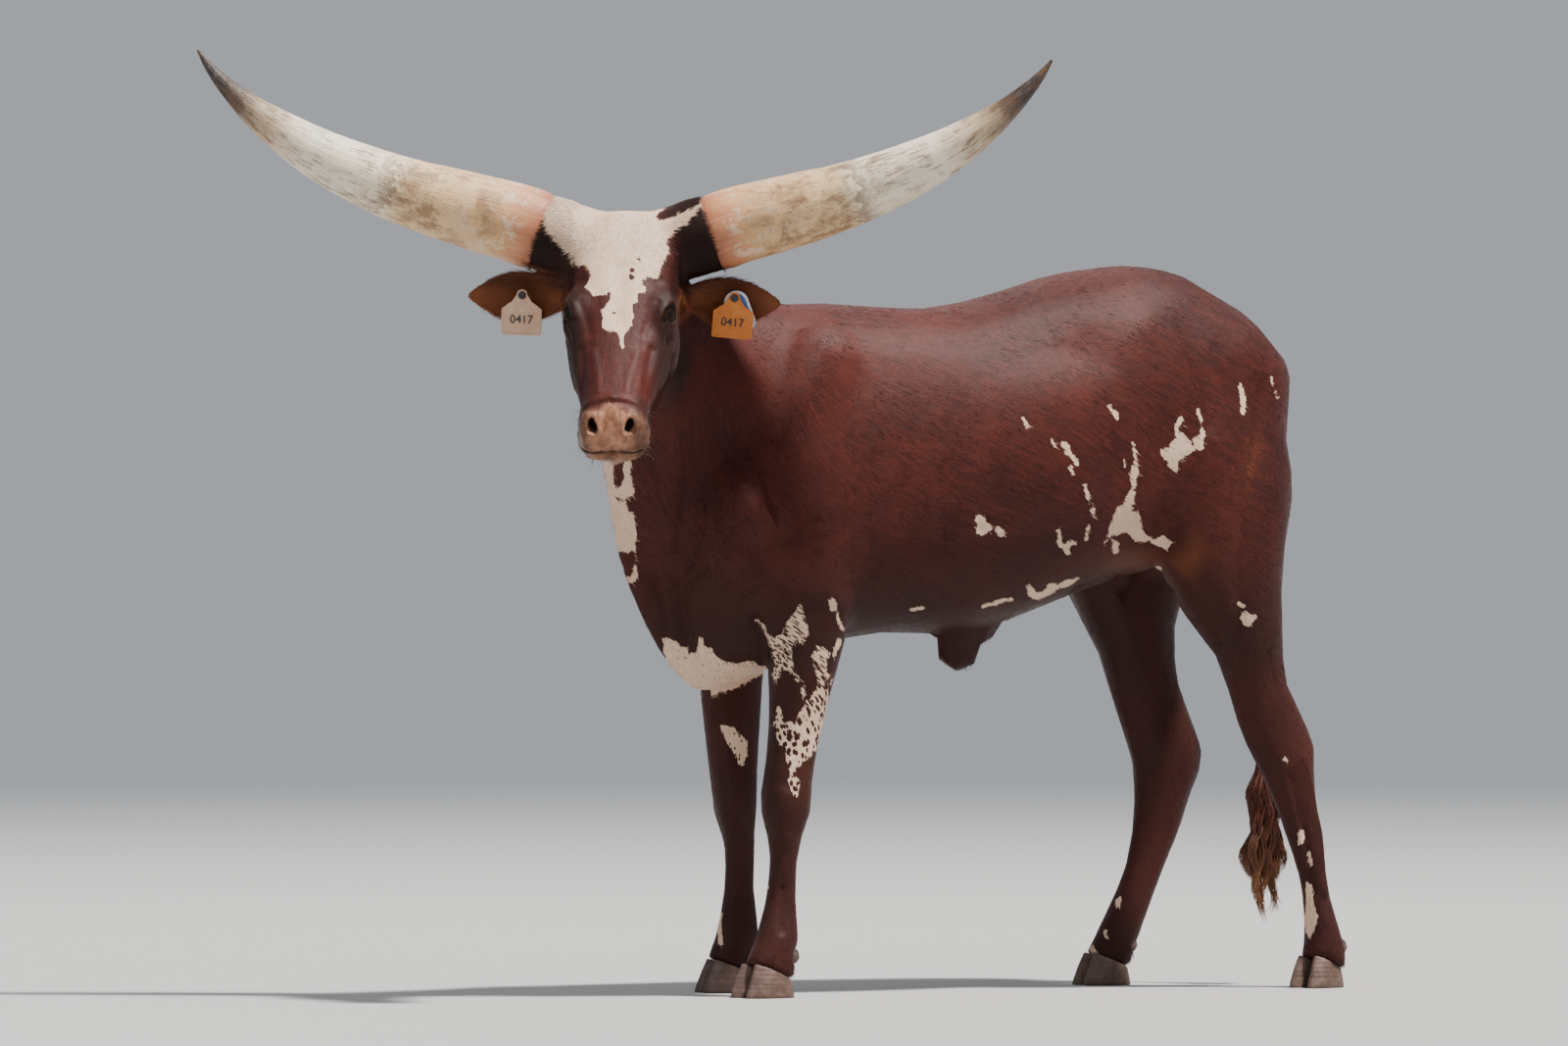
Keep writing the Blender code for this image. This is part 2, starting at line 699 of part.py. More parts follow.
def leg_tables():
    """Return the name and stations of every leg."""
    return (
        ("front_left", FORE_LEFT),
        ("front_right", FORE_RIGHT),
        ("hind_left", HIND_LEFT),
        ("hind_right", HIND_RIGHT),
    )


def neck_cut_frame():
    """Return the plane between head and neck: X points to the head."""
    turn = HEAD_TURN - math.radians(7.0)
    way = Vector((math.sin(turn) * 0.934, -math.cos(turn) * 0.934, 0.358))
    across = Vector((math.cos(turn), math.sin(turn), 0.0))
    forward = Vector((math.sin(HEAD_TURN), -math.cos(HEAD_TURN), 0.0))
    return frame_of(POLL - forward * 0.135 + Vector((0.0, 0.0, -0.088)), way, across)


def shoulder_cut_frame():
    """Return the plane between neck and torso: X points to the neck."""
    return frame_of(Vector((0.0, -0.600, 1.000)), Vector((0.0, -1.0, 0.75)), Vector((1.0, 0.0, 0.0)))


def leg_side(name, leg, guides, start):
    """Return a block over one leg, with a sloping top a little below or above its plane."""
    hind = leg.startswith("hind")
    sign = 1.0 if leg.endswith("left") else -1.0
    inner = 0.006 if hind else 0.064
    front = (0.12 if hind else -0.70) - start
    rear = (0.72 if hind else -0.27) + start
    made = block(name, Matrix(), (0.0, front, -0.10), (1.0, rear, 0.0), guides)
    for point in made.data.vertices:
        outer = point.co.x > 0.5
        point.co.x = sign * (0.40 if outer else inner - start)
        if point.co.z > -0.05:
            rise = 0.34 if hind else 0.16
            base = 0.735 if hind else 0.655
            lean = 0.20 * (point.co.y - 0.42) if hind else -0.25 * (point.co.y + 0.43)
            point.co.z = base + rise * (abs(point.co.x) - 0.05) + lean + start
    if sign < 0.0:
        made.data.flip_normals()
    return made


def part_flesh(guides, parts):
    """Cut the skin in nodes with gaps thinner than a hair."""
    dense = whole_flesh(guides)
    head = copied("head", dense, parts)
    thinned(head, HEAD_TRIANGLES)
    thinned(dense, BODY_TRIANGLES)
    nodes = {}
    boolean(head, head_side("head_side", guides, GAP / 2.0), "INTERSECT")
    nodes["head"] = head
    boolean(dense, head_side("head_off", guides, -GAP / 2.0), "DIFFERENCE")
    for name, _ in leg_tables():
        leg = copied("leg_" + name, dense, parts)
        boolean(leg, leg_side("keep_" + name, name, guides, -GAP / 2.0), "INTERSECT")
        nodes[leg.name] = largest_piece(leg)
    for name, _ in leg_tables():
        boolean(dense, leg_side("off_" + name, name, guides, GAP / 2.0), "DIFFERENCE")
    neck = copied("neck", dense, parts)
    boolean(neck, neck_side("keep_neck", guides, GAP / 2.0), "INTERSECT")
    nodes["neck"] = largest_piece(neck)
    boolean(dense, neck_side("off_neck", guides, -GAP / 2.0), "DIFFERENCE")
    guides.objects.unlink(dense)
    parts.objects.link(dense)
    dense.name = "torso"
    nodes["torso"] = largest_piece(dense)
    return nodes


def head_side(name, guides, start):
    """Return a block over everything on the head's side of the plane."""
    return block(name, neck_cut_frame(), (start, -0.60, -0.60), (0.90, 0.60, 0.50), guides)


def neck_side(name, guides, start):
    """Return a block over everything in front of the shoulder."""
    return block(name, shoulder_cut_frame(), (start, -0.60, -0.60), (0.70, 0.60, 0.60), guides)


def eye_place(sign):
    """Return the middle of an eyeball and the way it looks, in the head's frame."""
    return Vector((EYE_ALONG, sign * EYE_SIDE, EYE_SINK)), Vector((0.12, sign * 0.84, 0.54)).normalized()


def eye(name, sign, parts):
    """Return one eyeball."""
    middle, _ = eye_place(sign)
    centre = head_frame() @ middle
    return ball(name, centre, (EYE_RADIUS,) * 3, (0, 0, 0), parts, 16)


def eye_opening(sign, guides):
    """Return the almond between the lids."""
    middle, way = eye_place(sign)
    frame = frame_of(middle + way * 0.020, Vector((0.91, 0.0, 0.41)), way)
    made = ball("almond", (0.0, 0.0, 0.0), (0.0165, 0.030, 0.0098), (0, 0, 0), guides, 16)
    made.data.transform(head_frame() @ frame)
    return made


def nostril(sign, guides):
    """Return the slanted pit of one nostril."""
    way = Vector((1.0, sign * 0.16, 0.55))
    frame = frame_of(Vector((0.472, sign * 0.034, -0.022)), way, Vector((0.0, 1.0, 0.0)))
    made = ball("nostril", (0.0, 0.0, 0.0), (0.030, 0.0078, 0.0125), (sign * 24, 0, 0), guides, 14)
    made.data.transform(head_frame() @ frame)
    return made


def mouth_line(head, guides):
    """Return the thin groove of the closed mouth, laid on the skin."""
    frame = head_frame()
    back = frame.inverted()
    tree = BVHTree.FromPolygons(
        [point.co.copy() for point in head.data.vertices],
        [tuple(face.vertices) for face in head.data.polygons],
    )
    spots = []
    for step in range(-9, 10):
        angle = math.radians(step * 12.0)
        way = Vector((math.cos(angle), math.sin(angle), 0.0))
        depth = -0.0860 - 0.010 * abs(step / 9.0) ** 2
        start = frame @ (Vector((0.430, 0.0, depth)) + way * 0.14)
        hit = tree.ray_cast(start, (frame.to_3x3() @ -way).normalized())[0]
        if hit is not None:
            spots.append(back @ hit)
    rings = []
    for index, spot in enumerate(spots):
        before = spots[max(index - 1, 0)]
        after = spots[min(index + 1, len(spots) - 1)]
        way = (after - before).normalized()
        up = Vector((0.0, 0.0, 1.0))
        side = way.cross(up).normalized()
        up = side.cross(way).normalized()
        ring = oval(spot, side, up, 0.0050, 0.0018, 0.0018, 2.0, 8)
        rings.append([frame @ point for point in ring])
    return loft("mouth", rings, guides)


def ear(name, sign, parts):
    """Return one cupped ear that opens forward."""
    turn, reach, rise = EAR_SET[sign]
    root = Vector((sign * 0.11, 0.0, -0.155))
    frame = level_frame() @ Matrix.Translation(root + Vector((0.0, 0.0, rise)))
    frame = frame @ Matrix.Rotation(turn, 4, "Y") @ Matrix.Scale(reach, 4) @ Matrix.Translation(-root)
    rings = []
    for along, half, deep, wall, rise, forward in smooth_rows(EAR_STATIONS, 1):
        ring = []
        steps = 8
        for step in range(steps + 1):
            angle = math.pi * (step / steps - 0.5)
            ring.append((-deep * math.cos(angle), half * math.sin(angle)))
        for step in range(1, steps):
            angle = math.pi * (0.5 - step / steps)
            shallow = deep - wall
            ring.append((-shallow * math.cos(angle) * 0.96, (half - wall * 0.5) * math.sin(angle)))
        row = []
        for back, high in ring:
            y = forward + back + high * EAR_LEAN
            row.append(frame @ Vector((sign * along, y, rise + high)))
        rings.append(row)
    return loft(name, rings, parts)


def plate(name, outline, frame, thick, parts):
    """Return a flat plate of an outline, given in the frame's X and Z."""
    count = len(outline)
    points = [frame @ Vector((x, 0.0, z)) for x, z in outline]
    points += [frame @ Vector((x, thick, z)) for x, z in outline]
    faces = [tuple(range(count)), tuple(range(count, 2 * count))]
    for step in range(count):
        after = (step + 1) % count
        faces.append((step, after, count + after, count + step))
    return add_object(name, mesh_of(name, points, faces), parts)


def rounded(width, height, radius, middle, steps=4):
    """Return the outline of a rounded rectangle."""
    outline = []
    corners = ((1, 1, 0), (-1, 1, 90), (-1, -1, 180), (1, -1, 270))
    for x_sign, z_sign, start in corners:
        for step in range(steps + 1):
            angle = math.radians(start + 90.0 * step / steps)
            x = x_sign * (width / 2.0 - radius) + radius * math.cos(angle)
            z = z_sign * (height / 2.0 - radius) + radius * math.sin(angle)
            outline.append((middle[0] + x, middle[1] + z))
    return outline


def tag_outline():
    """Return the outline of an ear tag with its narrow neck on top."""
    lower = rounded(0.073, 0.050, 0.005, (0.0, -0.047), 2)
    half = [(0.012, -0.004), (0.009, 0.008), (0.004, 0.011)]
    neck = half + [(-x, z) for x, z in half[::-1]]
    right = [point for point in lower if point[0] > 0.0 and point[1] > -0.047]
    rest = [point for point in lower if not (point[0] > 0.0 and point[1] > -0.047)]
    return right + neck + rest


def tag_frame(sign, roll):
    """Return the frame of a tag: X to the animal's left, Y forward, Z up."""
    side, rise = STUD_SPOT[sign]
    spot = Vector((sign * side, 0.0, rise))
    return level_frame() @ Matrix.Translation(spot) @ Matrix.Rotation(math.radians(roll), 4, "Y")


def tags(parts, guides):
    """Return the two ear tags, the round one behind, and their studs."""
    made = []
    for side, sign, roll in (("left", 1.0, 5.0), ("right", -1.0, 2.0)):
        frame = tag_frame(sign, roll)
        front = frame @ Matrix.Translation((0.0, -0.0220, 0.0))
        face = plate("tag_" + side, tag_outline(), front, TAG_THICK, parts)
        made.append(face)
        stud = stud_of("tag_stud_" + side, frame, guides, parts)
        made.append(stud)
        hole = grown("hole", stud, 0.0004, guides)
        boolean(face, hole, "DIFFERENCE")
    frame = tag_frame(1.0, -20.0) @ Matrix.Translation((0.0, -0.0275, 0.0))
    disc = plate("tag_round_left", rounded(0.044, 0.078, 0.0215, (0.0, -0.026), 5), frame, TAG_THICK, parts)
    stud = next(item for item in made if item.name == "tag_stud_left")
    boolean(disc, grown("hole", stud, 0.0004, guides), "DIFFERENCE")
    made.append(disc)
    return made


def stud_of(name, frame, guides, parts):
    """Return the pin and button that hold a tag in the ear."""
    rings = []
    rows = ((-0.066, 0.0085), (-0.062, 0.0100), (-0.058, 0.0085), (-0.057, 0.0030))
    rows += ((-0.0196, 0.0030), (-0.0194, 0.0068), (-0.0175, 0.0072), (-0.0160, 0.0050))
    for forward, radius in rows:
        centre = frame @ Vector((0.0, forward, 0.0))
        turn = frame.to_3x3()
        across = turn @ Vector((1.0, 0.0, 0.0))
        up = turn @ Vector((0.0, 0.0, 1.0))
        rings.append(oval(centre, across, up, radius, radius, radius, 2.0, 12))
    return loft(name, rings, parts)


def foot_frame(foot):
    """Return a foot's frame: X to the toes, Y to its left, Z up."""
    middle, toe, _, _ = FEET[foot]
    way = toe.normalized()
    side = Vector((-way.y, way.x, 0.0))
    return frame_of(middle, way, side)


def coronet_height(x):
    """Return how high the horn of a claw reaches at a place along the foot."""
    return COFFIN_HEIGHT + CORONET_SLOPE * x


def claw(name, foot, sign, parts):
    """Return one claw, flat underneath, that ends on the sloping coronet."""
    _, _, length, breadth = FEET[foot]
    frame = foot_frame(foot)
    rings = []
    levels = ((0.0, 0.000, 1.00), (0.12, 0.002, 1.02), (0.55, 0.013, 0.97), (1.0, 0.024, 0.87))
    for part, toe_back, narrow in levels:
        front = length * 0.52 - toe_back
        rear = -length * 0.48 + 0.006 * part
        middle = (front + rear) / 2.0
        half = (front - rear) / 2.0
        wide = (breadth - CLEFT / 2.0) / 2.0 * narrow
        offset = CLEFT / 2.0 + (breadth - CLEFT / 2.0) / 2.0 * narrow
        ring = []
        for step in range(14):
            angle = 2.0 * math.pi * step / 14
            x = math.copysign(abs(math.cos(angle)) ** 0.78, math.cos(angle))
            y = math.copysign(abs(math.sin(angle)) ** 0.78, math.sin(angle))
            bend = 0.006 * max(x, 0.0) ** 2
            px = middle + half * x
            py = offset + wide * y * (1.0 - 0.18 * max(x, 0.0) ** 2) - bend * (1.0 if y > 0 else 0.0)
            height = (coronet_height(px) - GAP / 2.0) * part
            ring.append(frame @ Vector((px, sign * py, height)))
        rings.append(ring)
    return loft(name, rings, parts)


def foot_block(foot, guides):
    """Return the block under the coronet that the flesh is cut with."""
    way = Vector((1.0, 0.0, CORONET_SLOPE))
    frame = foot_frame(foot) @ frame_of(Vector((0.0, 0.0, COFFIN_HEIGHT)), way, Vector((0.0, 1.0, 0.0)))
    return block("under", frame, (-0.20, -0.15, -0.20), (0.20, 0.15, GAP / 2.0), guides)


def dewclaw(name, foot, sign, parts):
    """Return one small claw behind the fetlock."""
    _, _, length, _ = FEET[foot]
    frame = foot_frame(foot)
    made = ball(name, (-length * 0.54, sign * 0.021, 0.076), (0.013, 0.0105, 0.017), (0, -20, 0), parts, 8)
    made.data.transform(frame)
    return made


def feet(nodes, guides, parts):
    """Shoe every leg with two claws and two dewclaws."""
    made = []
    for foot in FEET:
        leg = nodes["leg_" + foot]
        boolean(leg, foot_block(foot, guides), "DIFFERENCE")
        for side, sign in (("left", 1.0), ("right", -1.0)):
            made.append(claw("claw_" + foot + "_" + side, foot, sign, parts))
            small = dewclaw("dewclaw_" + foot + "_" + side, foot, sign, parts)
            boolean(leg, grown("small", small, 0.0004, guides), "DIFFERENCE")
            made.append(small)
        nodes[leg.name] = largest_piece(leg)
    return made


def tail_dock(parts):
    """Return the tail down to where its long hair begins."""
    rings = []
    rows = smooth_rows(TAIL_PATH, 2)
    for index, (x, y, z, radius) in enumerate(rows):
        if z < TAIL_CUT_HEIGHT - 0.02:
            break
        before = Vector(rows[max(index - 1, 0)][0:3])
        after = Vector(rows[min(index + 1, len(rows) - 1)][0:3])
        way = (after - before).normalized()
        side = Vector((1.0, 0.0, 0.0))
        up = side.cross(way).normalized()
        rings.append(oval(Vector((x, y, z)), side, up, radius, radius, radius, 2.0, 14))
    made = loft("tail", rings, parts)
    return made


def lock(name, root, way, length, width, wave, guides):
    """Return one flat tapered bending lock of hair."""
    rings = []
    across = way.cross(Vector((0.0, 0.0, -1.0)))
    across = across.normalized() if across.length > 0.01 else Vector((1.0, 0.0, 0.0))
    for step in range(5):
        part = step / 4.0
        fall = Vector((0.0, 0.0, -length * part))
        out = way * (0.75 * part - 0.40 * part * part) * length * 0.42
        sway = across * wave * math.sin(part * 5.2) * part
        centre = root + fall + out + sway
        wide = width * (1.0 - 0.92 * part ** 1.4) * (0.70 + 0.60 * math.sin(math.pi * min(part + 0.2, 1.0)))
        flat = wide * 0.34
        thick = way if way.length > 0.1 else Vector((0.0, 1.0, 0.0))
        ring = [centre + across * wide, centre + thick * flat, centre - across * wide, centre - thick * flat]
        rings.append(ring)
    return loft(name, rings, guides)


def tail_switch(parts, guides):
    """Return the long hair at the tail's end as one body of overlapping locks."""
    spot = Vector((TAIL_PATH[-2][0], TAIL_PATH[-2][1], TAIL_CUT_HEIGHT - GAP))
    side = Vector((1.0, 0.0, 0.0))
    fore = Vector((0.0, 1.0, 0.0))
    rings = []
    for part, radius in ((0.0, 0.0112), (0.25, 0.0150), (0.5, 0.0135), (0.8, 0.0080), (1.0, 0.0030)):
        centre = spot + Vector((0.0, -0.006 * part, -0.200 * part))
        rings.append(oval(centre, side, fore, radius, radius, radius, 2.0, 12))
    pieces = [loft("switch_core", rings, parts)]
    for index in range(LOCKS):
        angle = index * 2.399963
        down = 0.012 + 0.110 * (index / LOCKS)
        way = Vector((math.cos(angle), math.sin(angle), 0.0))
        root = spot + Vector((0.0, 0.0, -down)) + way * 0.004
        length = LOCK_LENGTH * (0.66 + 0.34 * random.random()) - down * 0.7
        width = 0.0095 + 0.004 * random.random()
        wave = 0.018 * (random.random() - 0.5) * 2.0
        pieces.append(lock("lock", root, way, length, width, wave, parts))
    return united("tail_switch", pieces, parts)


def dress(thing, finish):
    """Give a node its material and smooth shading."""
    thing.data.materials.clear()
    thing.data.materials.append(finish)
    for face in thing.data.polygons:
        face.use_smooth = True
    thing.vertex_groups.clear()


def finishes():
    """Return the finish of every kind of node."""
    return {
        "coat": material("coat_chestnut", (0.135, 0.042, 0.030), 0.62),
        "horn": material("horn_ivory", (0.560, 0.420, 0.270), 0.50),
        "hoof": material("hoof_horn", (0.110, 0.080, 0.062), 0.55),
        "eye": material("eye_dark", (0.012, 0.008, 0.006), 0.08),
        "hair": material("switch_hair", (0.170, 0.050, 0.024), 0.60),
        "tag_orange": material("tag_orange", (0.850, 0.330, 0.060), 0.45),
        "tag_peach": material("tag_peach", (0.860, 0.560, 0.400), 0.50),
        "tag_white": material("tag_white", (0.800, 0.820, 0.840), 0.45),
        "stud": material("stud_dark", (0.045, 0.030, 0.026), 0.50),
    }


def finish_of(name):
    """Return which finish a node wears."""
    if name.startswith("horn"):
        return "horn"
    if name.startswith("claw") or name.startswith("dewclaw"):
        return "hoof"
    if name.startswith("eye"):
        return "eye"
    if name == "tail_switch":
        return "hair"
    if name == "tag_left":
        return "tag_orange"
    if name == "tag_right":
        return "tag_peach"
    if name == "tag_round_left":
        return "tag_white"
    if name.startswith("tag_stud"):
        return "stud"
    return "coat"


def head_details(nodes, parts, guides):
    """Cut seats, sockets, nostrils and mouth in the head and add what sits there."""
    head = nodes["head"]
    made = []
    for side, sign in (("left", 1.0), ("right", -1.0)):
        seat = block("seat", horn_axis_frame(sign), (-GAP / 2.0, -0.20, -0.20), (0.20, 0.20, 0.20), guides)
        boolean(head, seat, "DIFFERENCE")
    nodes["head"] = largest_piece(head)
    skin = grown("skin", head, GAP, guides)
    boolean(head, mouth_line(head, guides), "DIFFERENCE")
    for side, sign in (("left", 1.0), ("right", -1.0)):
        made.append(horn("horn_" + side, sign, parts))
        ball_node = eye("eye_" + side, sign, parts)
        boolean(head, grown("socket", ball_node, 0.0004, guides), "DIFFERENCE")
        boolean(head, eye_opening(sign, guides), "DIFFERENCE")
        boolean(head, nostril(sign, guides), "DIFFERENCE")
        flap = ear("ear_" + side, sign, parts)
        largest_piece(boolean(flap, skin, "DIFFERENCE", keep=True))
        made += [ball_node, flap]
    made += tags(parts, guides)
    for side in ("left", "right"):
        flap = next(item for item in made if item.name == "ear_" + side)
        stud = next(item for item in made if item.name == "tag_stud_" + side)
        boolean(flap, grown("hole", stud, 0.0004, guides), "DIFFERENCE")
        largest_piece(flap)
    bpy.data.objects.remove(skin)
    largest_piece(head)
    return made


def main():
    """Build the bull."""
    clear_scene()
    random.seed(7)
    parts = bpy.data.collections.new("ankole_watusi_bull")
    guides = bpy.data.collections.new("guides")
    bpy.context.scene.collection.children.link(parts)
    bpy.context.scene.collection.children.link(guides)
    nodes = part_flesh(guides, parts)
    made = head_details(nodes, parts, guides)
    made += feet(nodes, guides, parts)
    tail = tail_dock(parts)
    floor = block("end", Matrix(), (-0.2, 0.4, 0.2), (0.2, 0.8, TAIL_CUT_HEIGHT), guides)
    boolean(tail, floor, "DIFFERENCE")
    for name in ("torso", "leg_hind_left", "leg_hind_right"):
        boolean(nodes[name], grown("groove", tail, 0.0004, guides), "DIFFERENCE")
        largest_piece(nodes[name])
    made.append(tail)
    made.append(tail_switch(parts, guides))
    looks = finishes()
    for thing in list(nodes.values()) + made:
        thing.data.transform(Matrix.Translation(FRAME_SHIFT))
        thing.data.name = thing.name
        dress(thing, looks[finish_of(thing.name)])
    guides.hide_render = True


main()
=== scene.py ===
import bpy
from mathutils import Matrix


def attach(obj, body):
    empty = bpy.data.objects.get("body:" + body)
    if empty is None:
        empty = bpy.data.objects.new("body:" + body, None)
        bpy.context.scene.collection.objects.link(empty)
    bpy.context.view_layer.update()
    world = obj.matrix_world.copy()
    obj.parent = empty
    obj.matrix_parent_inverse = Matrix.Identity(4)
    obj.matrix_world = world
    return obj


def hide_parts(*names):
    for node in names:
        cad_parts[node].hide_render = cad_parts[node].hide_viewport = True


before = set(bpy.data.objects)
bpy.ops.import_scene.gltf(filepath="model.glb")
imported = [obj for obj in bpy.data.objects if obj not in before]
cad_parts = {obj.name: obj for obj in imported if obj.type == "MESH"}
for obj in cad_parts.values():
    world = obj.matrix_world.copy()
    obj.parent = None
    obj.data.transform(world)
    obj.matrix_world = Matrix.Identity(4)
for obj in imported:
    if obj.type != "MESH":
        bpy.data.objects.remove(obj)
"""Looks of the young Ankole-Watusi bull: one skin with its coat, horns, hooves, eyes and ear tags."""
import logging
from collections.abc import Callable, Iterator
from contextlib import contextmanager
from dataclasses import dataclass, field
from enum import Enum
from math import cos, exp, pi, radians, sin, sqrt, tau

import bmesh
import bpy
import numpy as np
from mathutils import Matrix, Vector, noise
from mathutils.bvhtree import BVHTree

LOG = logging.getLogger("bull")
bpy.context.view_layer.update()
SPINE = -0.102  # the body's middle plane, in x
FAR = 1e9  # farther than any distance on the body
TINY = 1e-6  # keeps a division away from zero
TUFT = 7  # points of one tuft
UP = Vector((0.0, 0.0, 1.0))
Points, Mesh, Thing, Material = np.ndarray, bpy.types.Mesh, bpy.types.Object, bpy.types.Material


# Frames of the head and of the picture
@dataclass(frozen=True)
class Pose:
    """Where the poll stands, how far the head turns and how steeply it hangs."""

    shift: tuple = (-0.102, 0.379, 0.0)
    poll: tuple = (0.14, -0.778, 1.418)
    turn: float = radians(60.5)
    drop: float = radians(52.0)

    def ways(self) -> tuple[Vector, Vector]:
        """Return the level directions forward and to the left of the head."""
        forward = Vector((sin(self.turn), -cos(self.turn), 0))
        return forward, Vector((cos(self.turn), sin(self.turn), 0))

    def origin(self) -> Vector:
        """Return the poll in the shared frame."""
        return Vector(self.poll) + Vector(self.shift)

    def face(self) -> Matrix:
        """Return the frame with X down the face, Y to its left and Z out of it."""
        forward, left = self.ways()
        along = forward * cos(self.drop) + Vector((0, 0, -sin(self.drop)))
        return framed(self.origin(), along, left)

    def level(self) -> Matrix:
        """Return the frame with X to the left, Y forward and Z up."""
        forward, left = self.ways()
        turn = Matrix((left, forward, UP)).transposed().to_4x4()
        return Matrix.Translation(self.origin()) @ turn


@dataclass(frozen=True)
class View:
    """The camera of the picture, whose pixels also place markings and folds."""

    heading: float = radians(25.0)
    distance: float = 22.0
    pixel: float = 0.0018
    centre: tuple = (800.0, 533.5)
    horizon: float = 500.0
    height: float = 0.918
    aside: float = -0.36
    width: float = 1600.0

    @property
    def focal(self) -> float:
        """Return the focal length in pixels."""
        return self.distance / self.pixel

    def ways(self) -> tuple[Vector, Vector]:
        """Return the viewing direction and the direction to the right."""
        c, s = cos(self.heading), sin(self.heading)
        return Vector((-c, s, 0)), Vector((s, c, 0))

    def place(self) -> Vector:
        """Return where the camera stands."""
        look, right = self.ways()
        base = -look * self.distance + right * self.aside + Vector(Pose().shift)
        return Vector((base.x, base.y, self.height))

    def project(self, points: Points, mirror: bool = False) -> Points:
        """Return pixel columns and rows of points.

        Args:
            points: an N by 3 array in the shared frame.
            mirror: whether the far side is seen, as in a mirror.

        Returns:
            An N by 2 array of pixels.
        """
        seen = points.copy()
        if mirror:
            seen[:, 0] = 2 * SPINE - seen[:, 0]
        look, right = self.ways()
        seen = seen - np.array(self.place())
        depth = seen @ np.array(look)
        column = self.centre[0] + self.focal * (seen @ np.array(right)) / depth
        row = self.horizon - self.focal * seen[:, 2] / depth
        return np.stack([column, row], axis=1)

    def ray(self, column: float, row: float) -> tuple[Vector, Vector]:
        """Return where a pixel's ray starts and where it goes.

        Args:
            column: the pixel's column.
            row: the pixel's row.

        Returns:
            The start and the direction.
        """
        look, right = self.ways()
        way = look + right * ((column - self.centre[0]) / self.focal)
        way += Vector((0, 0, (self.horizon - row) / self.focal))
        return self.place(), way.normalized()


POSE = Pose()
VIEW = View()


# Small mesh tools
def framed(origin: Vector, x_axis: Vector, y_axis: Vector) -> Matrix:
    """Return the matrix of a frame from its origin and two directions.

    Args:
        origin: where the frame stands.
        x_axis: the way of X.
        y_axis: a way near that of Y.

    Returns:
        The frame's matrix.
    """
    first = Vector(x_axis).normalized()
    third = first.cross(Vector(y_axis)).normalized()
    turn = Matrix((first, third.cross(first), third)).transposed().to_4x4()
    return Matrix.Translation(origin) @ turn


def put(name: str, data: bpy.types.ID) -> Thing:
    """Put a mesh, a light or a camera in the scene under a name."""
    made = bpy.data.objects.new(name, data)
    bpy.context.scene.collection.objects.link(made)
    return made


@contextmanager
def worked(mesh: Mesh) -> Iterator[bmesh.types.BMesh]:
    """Open a mesh for bmesh work and write it back.

    Args:
        mesh: the mesh that is worked on.

    Yields:
        The open bmesh, for one with block.
    """
    work = bmesh.new()
    work.from_mesh(mesh)
    yield work
    work.to_mesh(mesh)
    work.free()


def plain(name: str, points: list, faces: list) -> Mesh:
    """Return a mesh of points and faces as they are."""
    mesh = bpy.data.meshes.new(name)
    mesh.from_pydata([tuple(point) for point in points], [], faces)
    return mesh


def turned_out(mesh: Mesh, merged: float = 0.0) -> Mesh:
    """Return the mesh with its faces turned outward, after doubles within a distance are merged.

    Args:
        mesh: the mesh, changed in place.
        merged: the distance within which points are one.

    Returns:
        The same mesh.
    """
    with worked(mesh) as work:
        if merged:
            bmesh.ops.remove_doubles(work, verts=work.verts, dist=merged)
        bmesh.ops.recalc_face_normals(work, faces=work.faces)
    return mesh


def mesh_from(name: str, points: list, faces: list) -> Mesh:
    """Return a mesh with merged doubles and faces turned outward."""
    return turned_out(plain(name, points, faces), 1e-6)


def ball_mesh(name: str, columns: int, rows: int, radius: float) -> Mesh:
    """Return a ball whose poles lie on Z.

    Args:
        name: the mesh's name.
        columns: faces round it.
        rows: faces from pole to pole.
        radius: its radius.

    Returns:
        The ball.
    """
    mesh = bpy.data.meshes.new(name)
    with worked(mesh) as work:
        bmesh.ops.create_uvsphere(work, u_segments=columns, v_segments=rows, radius=radius)
    return mesh


def coords(mesh: Mesh, what: str = "co") -> Points:
    """Return the vertices as an N by 3 array."""
    flat = np.empty(len(mesh.vertices) * 3, np.float32)
    mesh.vertices.foreach_get(what, flat)
    return flat.reshape(-1, 3).astype(float)


def normals(mesh: Mesh) -> Points:
    """Return the vertex normals as an N by 3 array."""
    return coords(mesh, "normal")


def unit(ways: Points, least: float = TINY) -> Points:
    """Return directions of length one."""
    return ways / np.maximum(np.linalg.norm(ways, axis=1), least)[:, None]


def within(points: Points, place: Matrix) -> Points:
    """Return points in a frame of their own."""
    back = np.array(place.inverted())
    return points @ back[:3, :3].T + back[:3, 3]


def set_coords(mesh: Mesh, points: Points) -> None:
    """Write the vertices back."""
    mesh.vertices.foreach_set("co", points.astype(np.float32).ravel())
    mesh.update()


def store(mesh: Mesh, name: str, values: Points) -> None:
    """Keep one number or vector for each vertex.

    Args:
        mesh: the mesh that keeps them.
        name: the attribute's name.
        values: a number or a vector for each vertex.
    """
    kind = "FLOAT" if values.ndim == 1 else "FLOAT_VECTOR"
    if name in mesh.attributes:
        mesh.attributes.remove(mesh.attributes[name])
    layer = mesh.attributes.new(name, kind, "POINT")
    layer.data.foreach_set("value" if values.ndim == 1 else "vector", values.astype(np.float32).ravel())


def applied(thing: Thing) -> Thing:
    """Turn an object's modifiers into its mesh.

    Args:
        thing: the object.

    Returns:
        The same object, without modifiers.
    """
    graph = bpy.context.evaluated_depsgraph_get()
    mesh = bpy.data.meshes.new_from_object(thing.evaluated_get(graph))
    thing.modifiers.clear()
    old = thing.data
    thing.data = mesh
    bpy.data.meshes.remove(old)
    return thing


